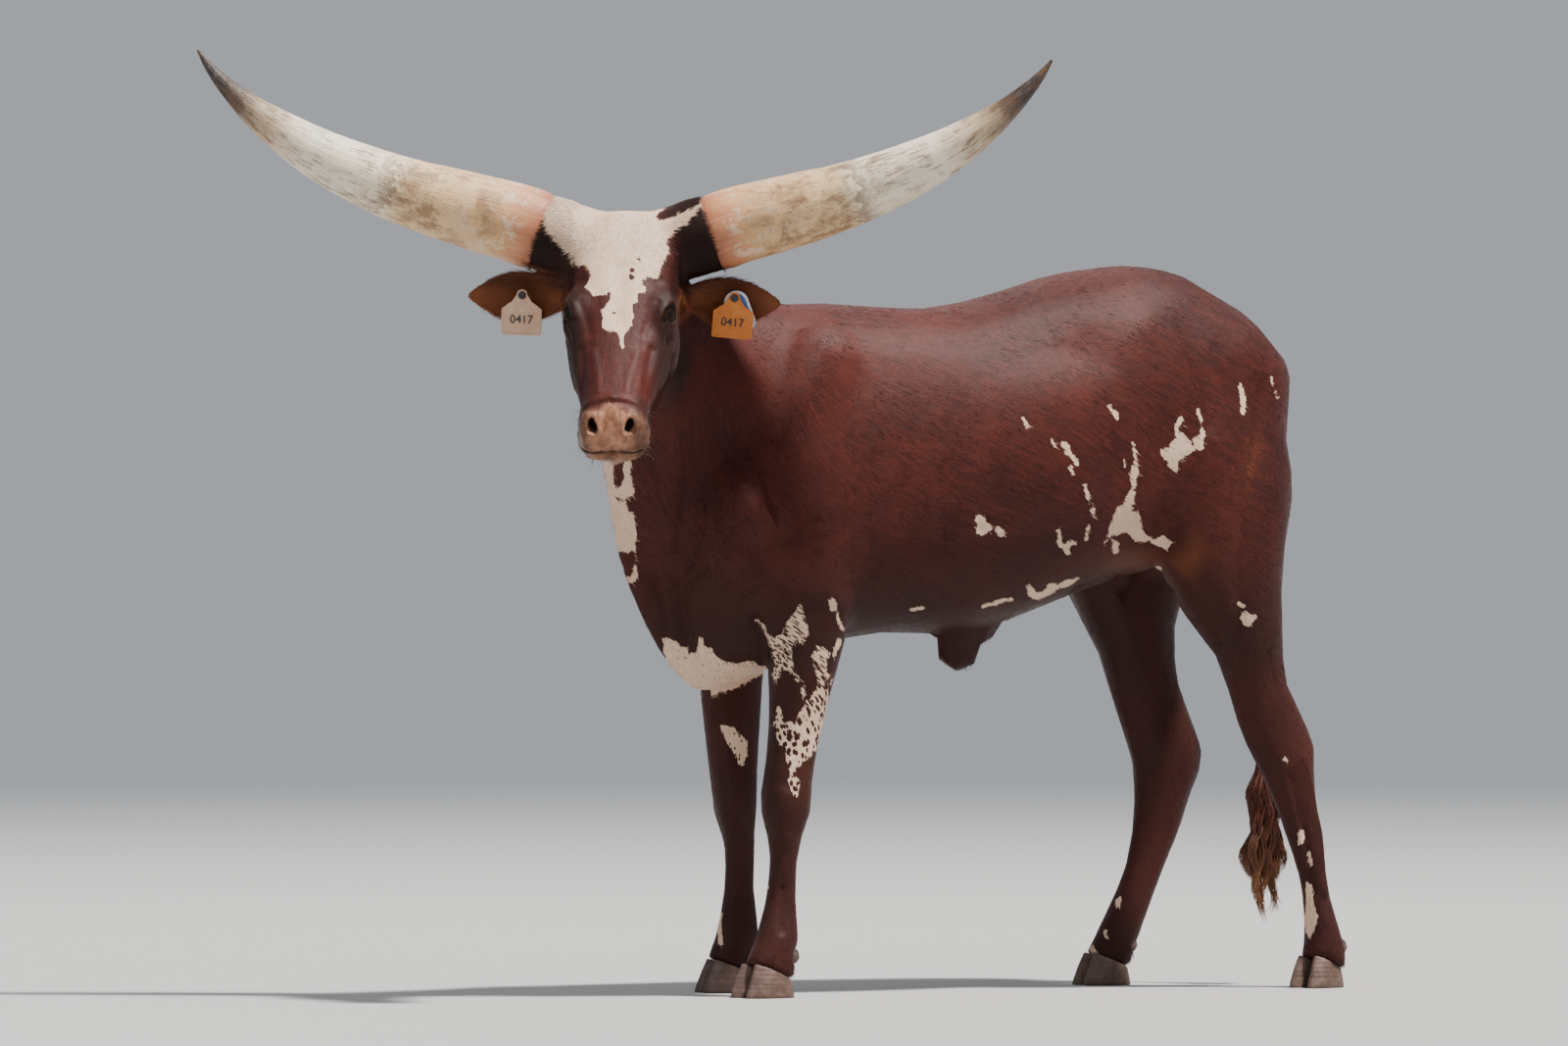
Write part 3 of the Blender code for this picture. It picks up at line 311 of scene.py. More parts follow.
def modified(thing: Thing, kind: str, **settings: object) -> Thing:
    """Run one modifier on an object and apply it.

    Args:
        thing: the object.
        kind: the modifier's type.
        settings: the modifier's settings.

    Returns:
        The same object.
    """
    step = thing.modifiers.new("step", kind)
    for name, value in settings.items():
        setattr(step, name, value)
    return applied(thing)


def joined(name: str, solids: list, extra: list = ()) -> Thing:
    """Lay copies of solids in one object with their doubles merged, and then some meshes as they are.

    Args:
        name: the object's name.
        solids: meshes whose doubles are merged.
        extra: meshes that are added as they are.

    Returns:
        The one object.
    """
    joint = bpy.data.meshes.new(name)
    with worked(joint) as work:
        for mesh in solids:
            work.from_mesh(mesh)
        bmesh.ops.remove_doubles(work, verts=work.verts, dist=1e-5)
        for mesh in extra:
            work.from_mesh(mesh)
    return put(name, joint)


def smoothly(thing: Thing) -> Thing:
    """Shade every face smooth."""
    thing.data.polygons.foreach_set("use_smooth", [True] * len(thing.data.polygons))
    thing.data.update()
    return thing


def weigh(thing: Thing, name: str, weights: Points, steps: int = 16) -> None:
    """Write a vertex group from an array, in even steps.

    Args:
        thing: the object.
        name: the group.
        weights: a weight for each vertex.
        steps: how many levels.
    """
    group = thing.vertex_groups.new(name=name)
    levels = np.clip(np.round(weights * steps), 0, steps).astype(int)
    for level in range(steps + 1):
        chosen = np.nonzero(levels == level)[0]
        if len(chosen):
            group.add(chosen.tolist(), level / steps, "REPLACE")


def oval(centre: Vector, side: Vector, up: Vector, wide: float, tall: float, count: int) -> list:
    """Return one ring of an oval section.

    Args:
        centre: the middle of the ring.
        side: the direction of its first point.
        up: the direction a quarter on.
        wide: half its width.
        tall: half its height.
        count: how many points it has.

    Returns:
        The points in order.
    """
    angles = [tau * step / count for step in range(count)]
    return [centre + side * (wide * cos(angle)) + up * (tall * sin(angle)) for angle in angles]


def loft(rings: list, closed: bool = False) -> tuple[list, list]:
    """Return points and faces of a skin over a row of rings.

    Args:
        rings: rings of equal count.
        closed: whether the last ring meets the first, instead of both ends being capped.

    Returns:
        The points and the faces.
    """
    count = len(rings[0])
    points = [point for ring in rings for point in ring]
    faces = []
    for row in range(len(rings) if closed else len(rings) - 1):
        low = row * count
        high = (row + 1) % len(rings) * count
        for step in range(count):
            after = (step + 1) % count
            faces.append((low + step, low + after, high + after, high + step))
    if not closed:
        faces.append(tuple(range(count)))
        faces.append(tuple(range(len(points) - count, len(points))))
    return points, faces


def hair_mesh(name: str, hairs: list) -> Mesh:
    """Return one mesh of many hairs or locks, each a row of rings.

    Args:
        name: the mesh's name.
        hairs: a list of rings for each hair.

    Returns:
        The mesh.
    """
    points, faces = [], []
    for rings in hairs:
        made, sides = loft(rings)
        base = len(points)
        points += made
        faces += [tuple(base + corner for corner in face) for face in sides]
    return plain(name, points, faces)


def spline(rows: tuple, parts: int) -> list:
    """Return rows of millimetres with Catmull-Rom steps put between them, in metres.

    Args:
        rows: the rows that the curve runs through.
        parts: steps from one row to the next.

    Returns:
        The rows and the steps between them.
    """
    table = np.array(rows, float) / 1000.0
    padded = np.vstack([2.0 * table[0] - table[1], table, 2.0 * table[-1] - table[-2]])
    made = []
    for index in range(len(table) - 1):
        a, b, c, d = padded[index:index + 4]
        for part in range(parts):
            t = part / parts
            value = 2 * b + (c - a) * t + (2 * a - 5 * b + 4 * c - d) * t * t
            made.append((value + (3 * b - a - 3 * c + d) * t ** 3) * 0.5)
    made.append(table[-1])
    return made


def ramp(values: Points, low: float, high: float) -> Points:
    """Return 0 below low, 1 above high and a smooth step between."""
    part = np.clip((values - low) / (high - low), 0.0, 1.0)
    return part * part * (3.0 - 2.0 * part)


def fall(values: Points, low: float, high: float) -> Points:
    """Return 1 below low, 0 above high and a smooth step between."""
    return 1.0 - ramp(values, low, high)


# Shader and geometry graphs
def operator(operation: str, reflected: bool = False) -> Callable:
    """Return a method that puts one Math node between a wire and another wire or a number.

    Args:
        operation: the Math node's operation.
        reflected: whether the wire comes second.

    Returns:
        The method.
    """
    def method(wire: "Wire", other: object) -> "Wire":
        """Return the result of the node."""
        first, second = (other, wire) if reflected else (wire, other)
        return wire.graph.add("ShaderNodeMath", {"operation": operation}, {0: first, 1: second})
    return method


class Wire:
    """A socket of a node graph that adds, subtracts, multiplies and takes the larger value."""

    def __init__(self, graph: "Graph", socket: bpy.types.NodeSocket) -> None:
        """Keep the graph and the socket."""
        self.graph = graph
        self.socket = socket

    def step(self, low: float, high: float) -> "Wire":
        """Return a smooth step between two values."""
        inputs = {0: self, 1: low, 2: high, 3: 0, 4: 1}
        return self.graph.add("ShaderNodeMapRange", {"interpolation_type": "SMOOTHSTEP"}, inputs)

    def drop(self, low: float, high: float) -> "Wire":
        """Return a smooth step from one down to zero."""
        return 1 - self.step(low, high)

    __add__ = __radd__ = operator("ADD")
    __sub__, __rsub__ = operator("SUBTRACT"), operator("SUBTRACT", True)
    __mul__ = __rmul__ = operator("MULTIPLY")
    top = operator("MAXIMUM")


class Graph:
    """A node tree whose nodes all come from one method."""

    def __init__(self, tree: bpy.types.NodeTree) -> None:
        """Keep the tree."""
        self.tree = tree

    def add(self, kind: str, settings: dict, inputs: dict, out: object = 0) -> Wire:
        """Add a node.

        Args:
            kind: the node's type.
            settings: what is set on the node first; "stops" are a colour ramp's.
            inputs: values or wires by socket name or number.
            out: which output comes back.

        Returns:
            A wire from that output.
        """
        node = self.tree.nodes.new(kind)
        for name, value in settings.items():
            if name == "stops":
                self.stops(node.color_ramp, value)
            else:
                setattr(node, name, value)
        for name, value in inputs.items():
            socket = node.inputs[name]
            if isinstance(value, Wire):
                self.tree.links.new(value.socket, socket)
            else:
                socket.default_value = value
        return Wire(self, node.outputs[out] if len(node.outputs) else None)

    @staticmethod
    def stops(band: bpy.types.ColorRamp, stops: tuple) -> None:
        """Write a colour ramp's stops.

        Args:
            band: the ramp's node.
            stops: a place and a colour for each stop.
        """
        while len(band.elements) < len(stops):
            band.elements.new(0.5)
        for element, (place, colour) in zip(band.elements, stops):
            element.position = place
            element.color = (*colour, 1)


class Paint(Graph):
    """A material under construction."""

    def __init__(self, name: str) -> None:
        """Start an empty material."""
        self.made = bpy.data.materials.new(name)
        self.made.use_nodes = True
        super().__init__(self.made.node_tree)
        self.tree.nodes.clear()

    def place(self) -> Wire:
        """Return the Object coordinates."""
        return self.add("ShaderNodeTexCoord", {}, {}, "Object")

    def mark(self, name: str) -> Wire:
        """Return a number kept on the mesh."""
        return self.add("ShaderNodeAttribute", {"attribute_name": name}, {}, "Fac")

    def vector(self, name: str) -> Wire:
        """Return a vector kept on the mesh."""
        return self.add("ShaderNodeAttribute", {"attribute_name": name}, {}, "Vector")

    def scaled(self, vector: Wire, sizes: tuple, turn: tuple = (0.0, 0.0, 0.0)) -> Wire:
        """Return coordinates turned and stretched for a pattern."""
        inputs = {"Vector": vector, "Rotation": turn, "Scale": sizes}
        return self.add("ShaderNodeMapping", {}, inputs)

    def grain(
        self, vector: Wire, scale: float, detail: float = 3.0, rough: float = 0.5, bend: float = 0.0,
    ) -> Wire:
        """Return fractal noise around one half."""
        inputs = {"Vector": vector, "Scale": scale, "Detail": detail, "Roughness": rough, "Distortion": bend}
        return self.add("ShaderNodeTexNoise", {}, inputs, "Fac")

    def drawn(self, vector: Wire, across: float, along: float, *looks: float) -> Wire:
        """Return noise drawn out along the last number of some coordinates."""
        return self.grain(self.scaled(vector, (across, across, along)), 1, *looks)

    def wander(self, vector: Wire, scale: float) -> Wire:
        """Return a colour noise that bends other coordinates."""
        return self.add("ShaderNodeTexNoise", {}, {"Vector": vector, "Scale": scale, "Detail": 3}, "Color")

    def cells(self, vector: Wire, scale: float, feature: str = "F1") -> Wire:
        """Return the distance pattern of cells."""
        inputs = {"Vector": vector, "Scale": scale}
        return self.add("ShaderNodeTexVoronoi", {"feature": feature}, inputs, "Distance")

    def blend(self, part: object, first: object, second: object) -> Wire:
        """Return a mix of two colours."""
        inputs = {0: part, 6: colour(first), 7: colour(second)}
        return self.add("ShaderNodeMix", {"data_type": "RGBA"}, inputs, 2)

    def bump(self, height: Wire, strength: float, depth: float, base: object = None) -> Wire:
        """Return a normal bent by a height.

        Args:
            height: the height's wire.
            strength: how strongly it shows.
            depth: the height's size in metres.
            base: a normal that is bent before.

        Returns:
            The normal.
        """
        inputs = {"Height": height, "Strength": strength, "Distance": depth}
        if base is not None:
            inputs["Normal"] = base
        return self.add("ShaderNodeBump", {}, inputs, "Normal")

    def finish(self, inputs: dict) -> Material:
        """Close the material with one Principled shader."""
        shader = self.add("ShaderNodeBsdfPrincipled", {}, inputs)
        self.add("ShaderNodeOutputMaterial", {}, {"Surface": shader})
        return self.made


def colour(value: object) -> object:
    """Return a colour of four numbers, or the wire as it is."""
    return value if isinstance(value, Wire) else (*value, 1.0)


# Markings, drawn in the pixels of the picture and kept as distances in metres
EDGE = 0.03  # the largest distance that is kept
MARGIN = 14.0  # how many pixels round an outline are read


class Zone(Enum):
    """The part of the body that a marking belongs to, as its reach in x from the spine."""

    WHOLE = (-1.0, 1.0)
    NEAR = (0.01, 1.0)
    FAR = (-1.0, -0.01)
    KEEL = (-0.095, 0.075)
    NEAR_LEG = (0.045, 1.0)
    FAR_LEG = (-1.0, -0.045)


@dataclass(frozen=True)
class Patch:
    """One marking: a closed outline, or a streak if it has a half width in pixels."""

    zone: Zone
    outline: tuple
    half: float = 0.0
    mirror: bool = False

    def distance(self, pixels: Points) -> Points:
        """Return the signed distance in pixels, positive inside.

        Args:
            pixels: an N by 2 array of columns and rows.

        Returns:
            One distance for each pixel.
        """
        shape = np.array(self.outline, float)
        ends = np.roll(shape, -1, axis=0) if self.half == 0 else shape[1:]
        starts = shape if self.half == 0 else shape[:-1]
        best = np.full(len(pixels), FAR)
        inside = np.zeros(len(pixels), bool)
        for start, end in zip(starts, ends):
            way = end - start
            part = ((pixels - start) @ way) / max(way @ way, 1e-9)
            near = start + np.clip(part, 0, 1)[:, None] * way
            best = np.minimum(best, np.hypot(*(pixels - near).T))
            if self.half == 0 and start[1] != end[1]:
                crossing = (start[1] > pixels[:, 1]) != (end[1] > pixels[:, 1])
                edge = way[0] * (pixels[:, 1] - start[1]) / way[1] + start[0]
                inside ^= crossing & (pixels[:, 0] < edge)
        if self.half > 0:
            return self.half - best
        return np.where(inside, best, -best)

    def field(self, points: Points) -> Points:
        """Return the signed distance in metres, far below zero outside its zone.

        Args:
            points: an N by 3 array in the shared frame, in metres.

        Returns:
            One distance for each point.
        """
        shape = np.array(self.outline, float)
        pixels = VIEW.project(points, self.mirror)
        low, high = shape.min(0) - MARGIN, shape.max(0) + MARGIN
        aside = points[:, 0] - SPINE
        reach = self.zone.value
        mine = np.all((pixels > low) & (pixels < high), axis=1)
        mine &= (aside > reach[0]) & (aside < reach[1])
        made = np.full(len(points), -EDGE)
        if mine.any():
            made[mine] = np.clip(self.distance(pixels[mine]) * VIEW.pixel, -EDGE, EDGE)
        return made

    def across(self, right: float = 0.0, down: float = 0.0) -> "Patch":
        """Return the marking on the other flank, moved by some pixels."""
        zones = {Zone.NEAR: Zone.FAR, Zone.NEAR_LEG: Zone.FAR_LEG, Zone.FAR_LEG: Zone.NEAR_LEG}
        outline = tuple((x + right, y + down) for x, y in self.outline)
        return Patch(zones.get(self.zone, self.zone), outline, self.half, not self.mirror)


FLANK = Patch(Zone.NEAR, (
    (1155, 450), (1158, 453), (1160, 462), (1161, 475), (1162, 483), (1159, 492), (1160, 497), (1157, 506),
    (1156, 520), (1160, 521), (1163, 527), (1165, 538), (1170, 546), (1178, 550), (1187, 546), (1193, 550),
    (1197, 552), (1190, 562), (1182, 557), (1172, 552), (1160, 553), (1155, 549), (1150, 544), (1145, 543),
    (1140, 546), (1134, 546), (1128, 553), (1125, 560), (1127, 552), (1131, 545), (1133, 535), (1136, 530),
    (1140, 519), (1146, 513), (1151, 505), (1155, 497), (1153, 490), (1154, 480), (1157, 470), (1156, 460),
))
HIP = Patch(Zone.NEAR, (
    (1205, 424), (1208, 426), (1207, 431), (1203, 434), (1203, 441), (1208, 442), (1212, 447), (1218, 456),
    (1218, 448), (1222, 446), (1226, 436), (1230, 440), (1228, 455), (1227, 461), (1221, 459), (1213, 463),
    (1202, 470), (1201, 480), (1197, 481), (1193, 478), (1189, 470), (1185, 466), (1184, 458), (1192, 457),
    (1195, 452), (1199, 447), (1199, 435), (1202, 427),
))
BELLY = Patch(Zone.NEAR, (
    (1047, 598), (1052, 595), (1053, 601), (1058, 604), (1066, 602), (1070, 596), (1080, 595), (1092, 590),
    (1101, 590), (1092, 597), (1080, 601), (1070, 607), (1058, 612), (1050, 608),
))
LACE_TOP = Patch(Zone.NEAR_LEG, (
    (817, 616), (820, 625), (824, 642), (822, 655), (819, 659), (815, 651), (811, 654), (808, 661), (808, 675),
    (811, 684), (817, 692), (821, 700), (823, 708), (820, 712), (817, 700), (811, 690), (803, 683), (798, 684),
    (793, 695), (790, 698), (788, 690), (790, 675), (788, 664), (784, 655), (780, 645), (773, 634), (765, 633),
    (773, 631), (780, 638), (787, 650), (792, 651), (798, 646), (804, 635), (810, 625),
))
LACE = Patch(Zone.NEAR_LEG, (
    (834, 658), (841, 661), (848, 666), (844, 672), (843, 686), (848, 688), (848, 700), (845, 715), (843, 730),
    (841, 745), (838, 762), (834, 766), (826, 772), (818, 780), (812, 783), (814, 795), (815, 805), (812, 815),
    (808, 808), (803, 800), (806, 788), (803, 778), (801, 770), (803, 760), (795, 760), (792, 750), (794, 742),
    (788, 740), (791, 730), (795, 719), (797, 727), (799, 738), (806, 735), (811, 738), (815, 728), (820, 722),
    (822, 712), (828, 716), (830, 708), (834, 698), (834, 688), (830, 680), (829, 672), (826, 672), (831, 665),
))
SHANK = Patch(Zone.NEAR_LEG, (
    (1333, 900), (1340, 905), (1341, 925), (1345, 935), (1342, 945), (1336, 958), (1332, 950), (1330, 935),
    (1333, 920),
))
FOREARM = Patch(Zone.FAR_LEG, (
    (735, 740), (745, 741), (755, 748), (763, 757), (762, 770), (758, 783), (753, 778), (748, 765), (740, 755),
))
BRISKET = Patch(Zone.KEEL, (
    (676, 650), (690, 654), (695, 660), (702, 660), (702, 666), (710, 666), (713, 655), (716, 647), (718, 658),
    (725, 661), (730, 652), (735, 645), (742, 648), (747, 650), (745, 658), (752, 662), (760, 655), (770, 657),
    (775, 664), (788, 676), (775, 690), (753, 700), (734, 707), (719, 713), (697, 704), (680, 686),
))
THROAT = Patch(Zone.WHOLE, (
    (613, 466), (615, 452), (621, 438), (628, 430), (636, 436), (640, 450), (643, 466), (645, 490), (647, 505),
    (640, 512), (641, 521), (646, 522), (649, 540), (648, 560), (650, 575), (652, 592), (643, 597), (628, 590),
    (628, 562), (624, 532), (616, 515), (618, 495),
))
BLAZE = Patch(Zone.WHOLE, (
    (568, 196), (563, 206), (557, 211), (555, 217), (560, 228), (566, 241), (574, 250), (582, 260), (589, 271),
    (595, 270), (601, 274), (603, 281), (600, 287), (598, 292), (602, 298), (606, 302), (614, 301), (622, 301),
    (623, 306), (619, 310), (614, 318), (615, 326), (614, 334), (619, 337), (629, 339), (632, 345), (634, 356),
    (636, 356), (637, 343), (640, 338), (645, 332), (646, 324), (645, 311), (650, 308), (651, 300), (659, 297),
    (659, 293), (654, 290), (655, 285), (661, 282), (672, 284), (675, 271), (682, 257), (680, 249), (685, 238),
    (693, 231), (704, 222), (713, 210), (709, 209), (701, 215), (690, 220), (677, 224), (670, 224), (670, 220),
    (676, 214), (664, 206), (645, 200), (606, 198), (585, 196),
))
STREAKS = (
    (1.3, (1222, 417), (1226, 430)), (2.6, (1266, 394), (1268, 405), (1268, 420)),
    (0.7, (1297, 385), (1304, 406)), (1.9, (1045, 428), (1049, 436)), (2.2, (1133, 415), (1140, 426)),
    (1.4, (1073, 448), (1076, 455)), (3.0, (1086, 453), (1091, 462)), (2.2, (1091, 462), (1098, 473)),
    (1.0, (1092, 477), (1095, 484)), (1.4, (1108, 496), (1110, 506), (1112, 515)),
    (2.2, (1115, 521), (1117, 527)), (1.7, (1110, 537), (1108, 550)), (0.9, (1147, 469), (1148, 475)),
    (2.4, (1080, 541), (1081, 553), (1087, 560), (1090, 564)), (2.2, (1087, 558), (1092, 554), (1098, 554)),
    (3.2, (1138, 553), (1138, 562)), (5.2, (1000, 530), (1002, 541)), (3.2, (1004, 536), (1009, 538)),
    (3.0, (1019, 540), (1021, 545)), (1.6, (1003, 619), (1018, 614), (1032, 611)),
    (1.5, (1181, 579), (1184, 580)), (1.8, (1265, 616), (1269, 618)), (5.0, (1271, 629), (1273, 634)),
    (2.5, (1276, 630), (1280, 629)), (1.5, (930, 622), (942, 620)),
)
LEG_STREAKS = (
    (3.2, (849, 613), (850, 620)), (1.2, (853, 624), (857, 637), (859, 642)),
    (2.2, (857, 653), (853, 662), (851, 667)), (1.1, (783, 905), (775, 935), (763, 975)),
    (2.0, (1312, 773), (1313, 776)), (2.8, (1328, 848), (1327, 860)), (2.6, (1342, 980), (1344, 988)),
    (1.6, (1336, 870), (1338, 882)), (1.5, (838, 800), (840, 806)),
)
FAR_STREAKS = (
    (1.9, (735, 932), (734, 945), (736, 962)), (2.2, (1142, 917), (1140, 924)),
    (2.0, (1112, 966), (1120, 975)), (1.8, (1100, 986), (1106, 976)), (1.4, (1128, 950), (1130, 957)),
)
HOLES = (
    Patch(Zone.WHOLE, ((626, 462), (637, 462), (636, 485), (634, 495), (629, 499), (625, 492), (625, 478))),
    Patch(Zone.WHOLE, (
        (628, 506), (634, 509), (641, 508), (648, 503), (648, 520), (641, 519), (638, 511), (630, 511),
    )),
    Patch(Zone.WHOLE, ((627, 563), (647, 562), (648, 575), (644, 587), (634, 589), (627, 580))),
    Patch(Zone.NEAR_LEG, ((805, 747), (806, 754)), 3.4),
    Patch(Zone.NEAR_LEG, ((846, 692), (846, 701)), 1.8),
    Patch(Zone.NEAR_LEG, ((825, 724), (825, 727)), 2.4),
    Patch(Zone.WHOLE, ((644, 282), (645, 283)), 1.7),
    Patch(Zone.WHOLE, ((651, 264), (652, 264)), 1.5),
    Patch(Zone.WHOLE, ((645, 276), (646, 276)), 1.3),
    Patch(Zone.WHOLE, ((621, 299), (621, 300)), 1.2),
    Patch(Zone.WHOLE, ((626, 319), (627, 319)), 1.1),
)


class Markings:
    """All cream markings of the coat, on both flanks."""

    def __init__(self) -> None:
        """Lay out the markings of the flank that is seen, and their like on the other."""
        near = [Patch(Zone.NEAR, points, half) for half, *points in STREAKS]
        legs = [Patch(Zone.NEAR_LEG, points, half) for half, *points in LEG_STREAKS]
        far = [Patch(Zone.FAR_LEG, points, half) for half, *points in FAR_STREAKS]
        self.cream = [FLANK, HIP, BELLY, LACE_TOP, LACE, SHANK, FOREARM, BRISKET, THROAT] + near + legs + far
        self.cream += [FLANK.across(-70, -26), HIP.across(52, 64), BELLY.across(-30, 2), SHANK.across(-6, -40)]
        self.cream += [patch.across(-46 + 9 * (index % 5), 18) for index, patch in enumerate(near[4:18])]
        self.lace = [LACE_TOP, LACE, BRISKET, FOREARM]

    def field(self, points: Points) -> Points:
        """Return the signed distance to cream, in metres and positive inside.

        Args:
            points: an N by 3 array in the shared frame, in metres.

        Returns:
            One distance for each point.
        """
        made = np.full(len(points), -EDGE)
        # the throat's marking narrows on the far side of the chest and stays off the head
        hidden = np.clip(0.04 - (points[:, 0] - SPINE), 0, 0.2) * 0.25
        hidden += (head_part(points) > 0) * 2 * EDGE
        for patch in self.cream:
            made = np.maximum(made, patch.field(points) - (hidden if patch is THROAT else 0))
        # the blaze ends behind the poll and reaches nothing below the head
        crown = (points - np.array(POSE.origin())) @ np.array(POSE.ways()[0])
        face = np.minimum(BLAZE.field(points), crown + 0.078)
        face = np.where(points[:, 2] > 1, face, -EDGE)
        made = np.maximum(made, face)
        for hole in HOLES:
            made = np.minimum(made, -hole.field(points))
        return made

    def speckled(self, points: Points) -> Points:
        """Return how strongly dark specks break a cream place.

        Args:
            points: an N by 3 array in the shared frame, in metres.

        Returns:
            A share from 0 to 1 for each point.
        """
        made = np.zeros(len(points))
        for patch, strength in zip(self.lace, (1, 1, 0.35, 0.5)):
            made = np.maximum(made, strength * ramp(patch.field(points), -0.01, 0.002))
        return made


# Skin
@dataclass(frozen=True)
class Stroke:
    """A fold pressed in the skin, or a ridge raised on it, along a line.

    Radius and depth are in millimetres. The line is in pixels of the picture, or in millimetres of the
    head's own frame (down the face, aside, out). A line along the middle of the face isn't mirrored.
    """

    radius: float
    depth: float
    line: tuple
    head: bool = False
    mirror: bool = True


BODY_STROKES = tuple(Stroke(*row) for row in (
    (46, -13, ((1048, 352), (1075, 350), (1105, 356))),
    (30, -6.8, ((1120, 362), (1140, 420), (1138, 480))),
    (26, 6, ((1140, 290), (1168, 296), (1196, 306))),
    (24, -6.8, ((1205, 330), (1222, 372), (1238, 430))),
    (16, -8.5, ((1286, 392), (1284, 450), (1276, 520), (1268, 580), (1262, 640))),
    (30, 6.8, ((1250, 420), (1246, 500), (1232, 560))),
    (12, -10.2, ((1100, 600), (1130, 590), (1160, 588), (1196, 604))),
    (16, -8.5, ((880, 380), (872, 440), (874, 500), (872, 560), (862, 602))),
    (24, 8.5, ((842, 345), (822, 400), (790, 470), (768, 520))),
    (12, -8.5, ((722, 486), (721, 520), (716, 548), (706, 580))),
    (9, -8.5, ((701, 440), (702, 480), (697, 520), (690, 560))),
    (10, -6.8, ((735, 430), (744, 470), (752, 520))),
    (10, -6.8, ((760, 440), (775, 486), (790, 530))),
    (26, 10.2, ((758, 500), (764, 524), (770, 545))),
    (14, -8.5, ((748, 545), (780, 560), (812, 552), (838, 530))),
    (26, 8.5, ((800, 590), (835, 600), (862, 612))),
    (8, -8.5, ((768, 628), (776, 645), (782, 668))),
    (8, -6.8, ((690, 596), (692, 620), (698, 650))),
    (7, 6.8, ((664, 596), (668, 616), (674, 634))),
    (7, 6.8, ((678, 592), (684, 618), (690, 644))),
    (10, -3.3, ((905, 400), (899, 470), (894, 540), (896, 610))),
    (10, -3, ((936, 400), (930, 470), (926, 540), (928, 612))),
    (10, -2.7, ((968, 404), (964, 470), (962, 540), (962, 612))),
    (10, -2.4, ((1001, 410), (999, 470), (998, 540))),
    (10, -2.1, ((1034, 414), (1033, 470), (1032, 530))),
    (9, 5.9, ((1330, 770), (1346, 850), (1352, 910))),
    (7, -5.1, ((1318, 790), (1332, 850), (1340, 910))),
    (7, -5.1, ((818, 860), (800, 905), (798, 950))),
    (12, 5.9, ((800, 812), (796, 836), (800, 856))),
))
HEAD_STROKES = tuple(Stroke(*row, True, any(spot[1] for spot in row[2])) for row in (
    (8.5, -3, ((205, 70, 0), (250, 58, 0), (300, 48, 0))),
    (8.5, 2.2, ((285, 48, 0), (330, 40, 0), (375, 31, 0), (405, 28, 0))),
    (11, -4, ((300, 66, -20), (345, 58, -26), (390, 52, -36))),
    (10, 3.2, ((235, 94, -70), (290, 82, -78), (340, 72, -80))),
    (12, -4.5, ((260, 92, -100), (320, 80, -110), (380, 66, -100))),
    (15, -4, ((150, 72, -10), (178, 78, -14), (204, 78, -16))),
    (14, -3.2, ((130, 0, 10), (190, 0, 6), (250, 0, 4))),
    (4.5, -3, ((238, 92, -30), (252, 88, -34), (266, 82, -46))),
    (4, -2.6, ((236, 94, -58), (220, 100, -66), (200, 102, -66))),
    (4, -2.2, ((246, 92, -62), (226, 100, -74), (200, 102, -76))),
    (4, -2.2, ((196, 82, -18), (216, 78, -16), (236, 78, -22))),
    (4.5, 3.6, (
        (452, 46, -6), (468, 52, -18), (480, 50, -34), (486, 42, -46),
    )),
    (4, 2.6, ((458, 20, -4), (478, 18, -16), (490, 22, -32))),
    (4, -2, ((438, 52, -20), (434, 40, -4), (432, 18, 0), (432, 0, 0))),
    (6, 1.6, ((424, 48, -10), (422, 30, -2), (421, 0, 0))),
    (4, -2.4, ((488, 50, -52), (492, 36, -62), (495, 18, -66))),
    (4, -1.8, ((497, 0, -50), (497, 0, -58), (494, 0, -66))),
    (3.6, -7.5, (
        (385, 60, -94), (420, 60, -87), (450, 53, -80), (474, 40, -75),
        (488, 20, -72.5), (491, 0, -72),
    )),
    (5, 3, ((452, 50, -94), (474, 38, -89), (486, 20, -85), (489, 0, -84))),
    (5, 2, ((420, 60, -80), (452, 54, -72), (478, 38, -65), (492, 12, -60))),
    (8, 3, ((430, 46, -112), (458, 34, -110), (472, 0, -108))),
))


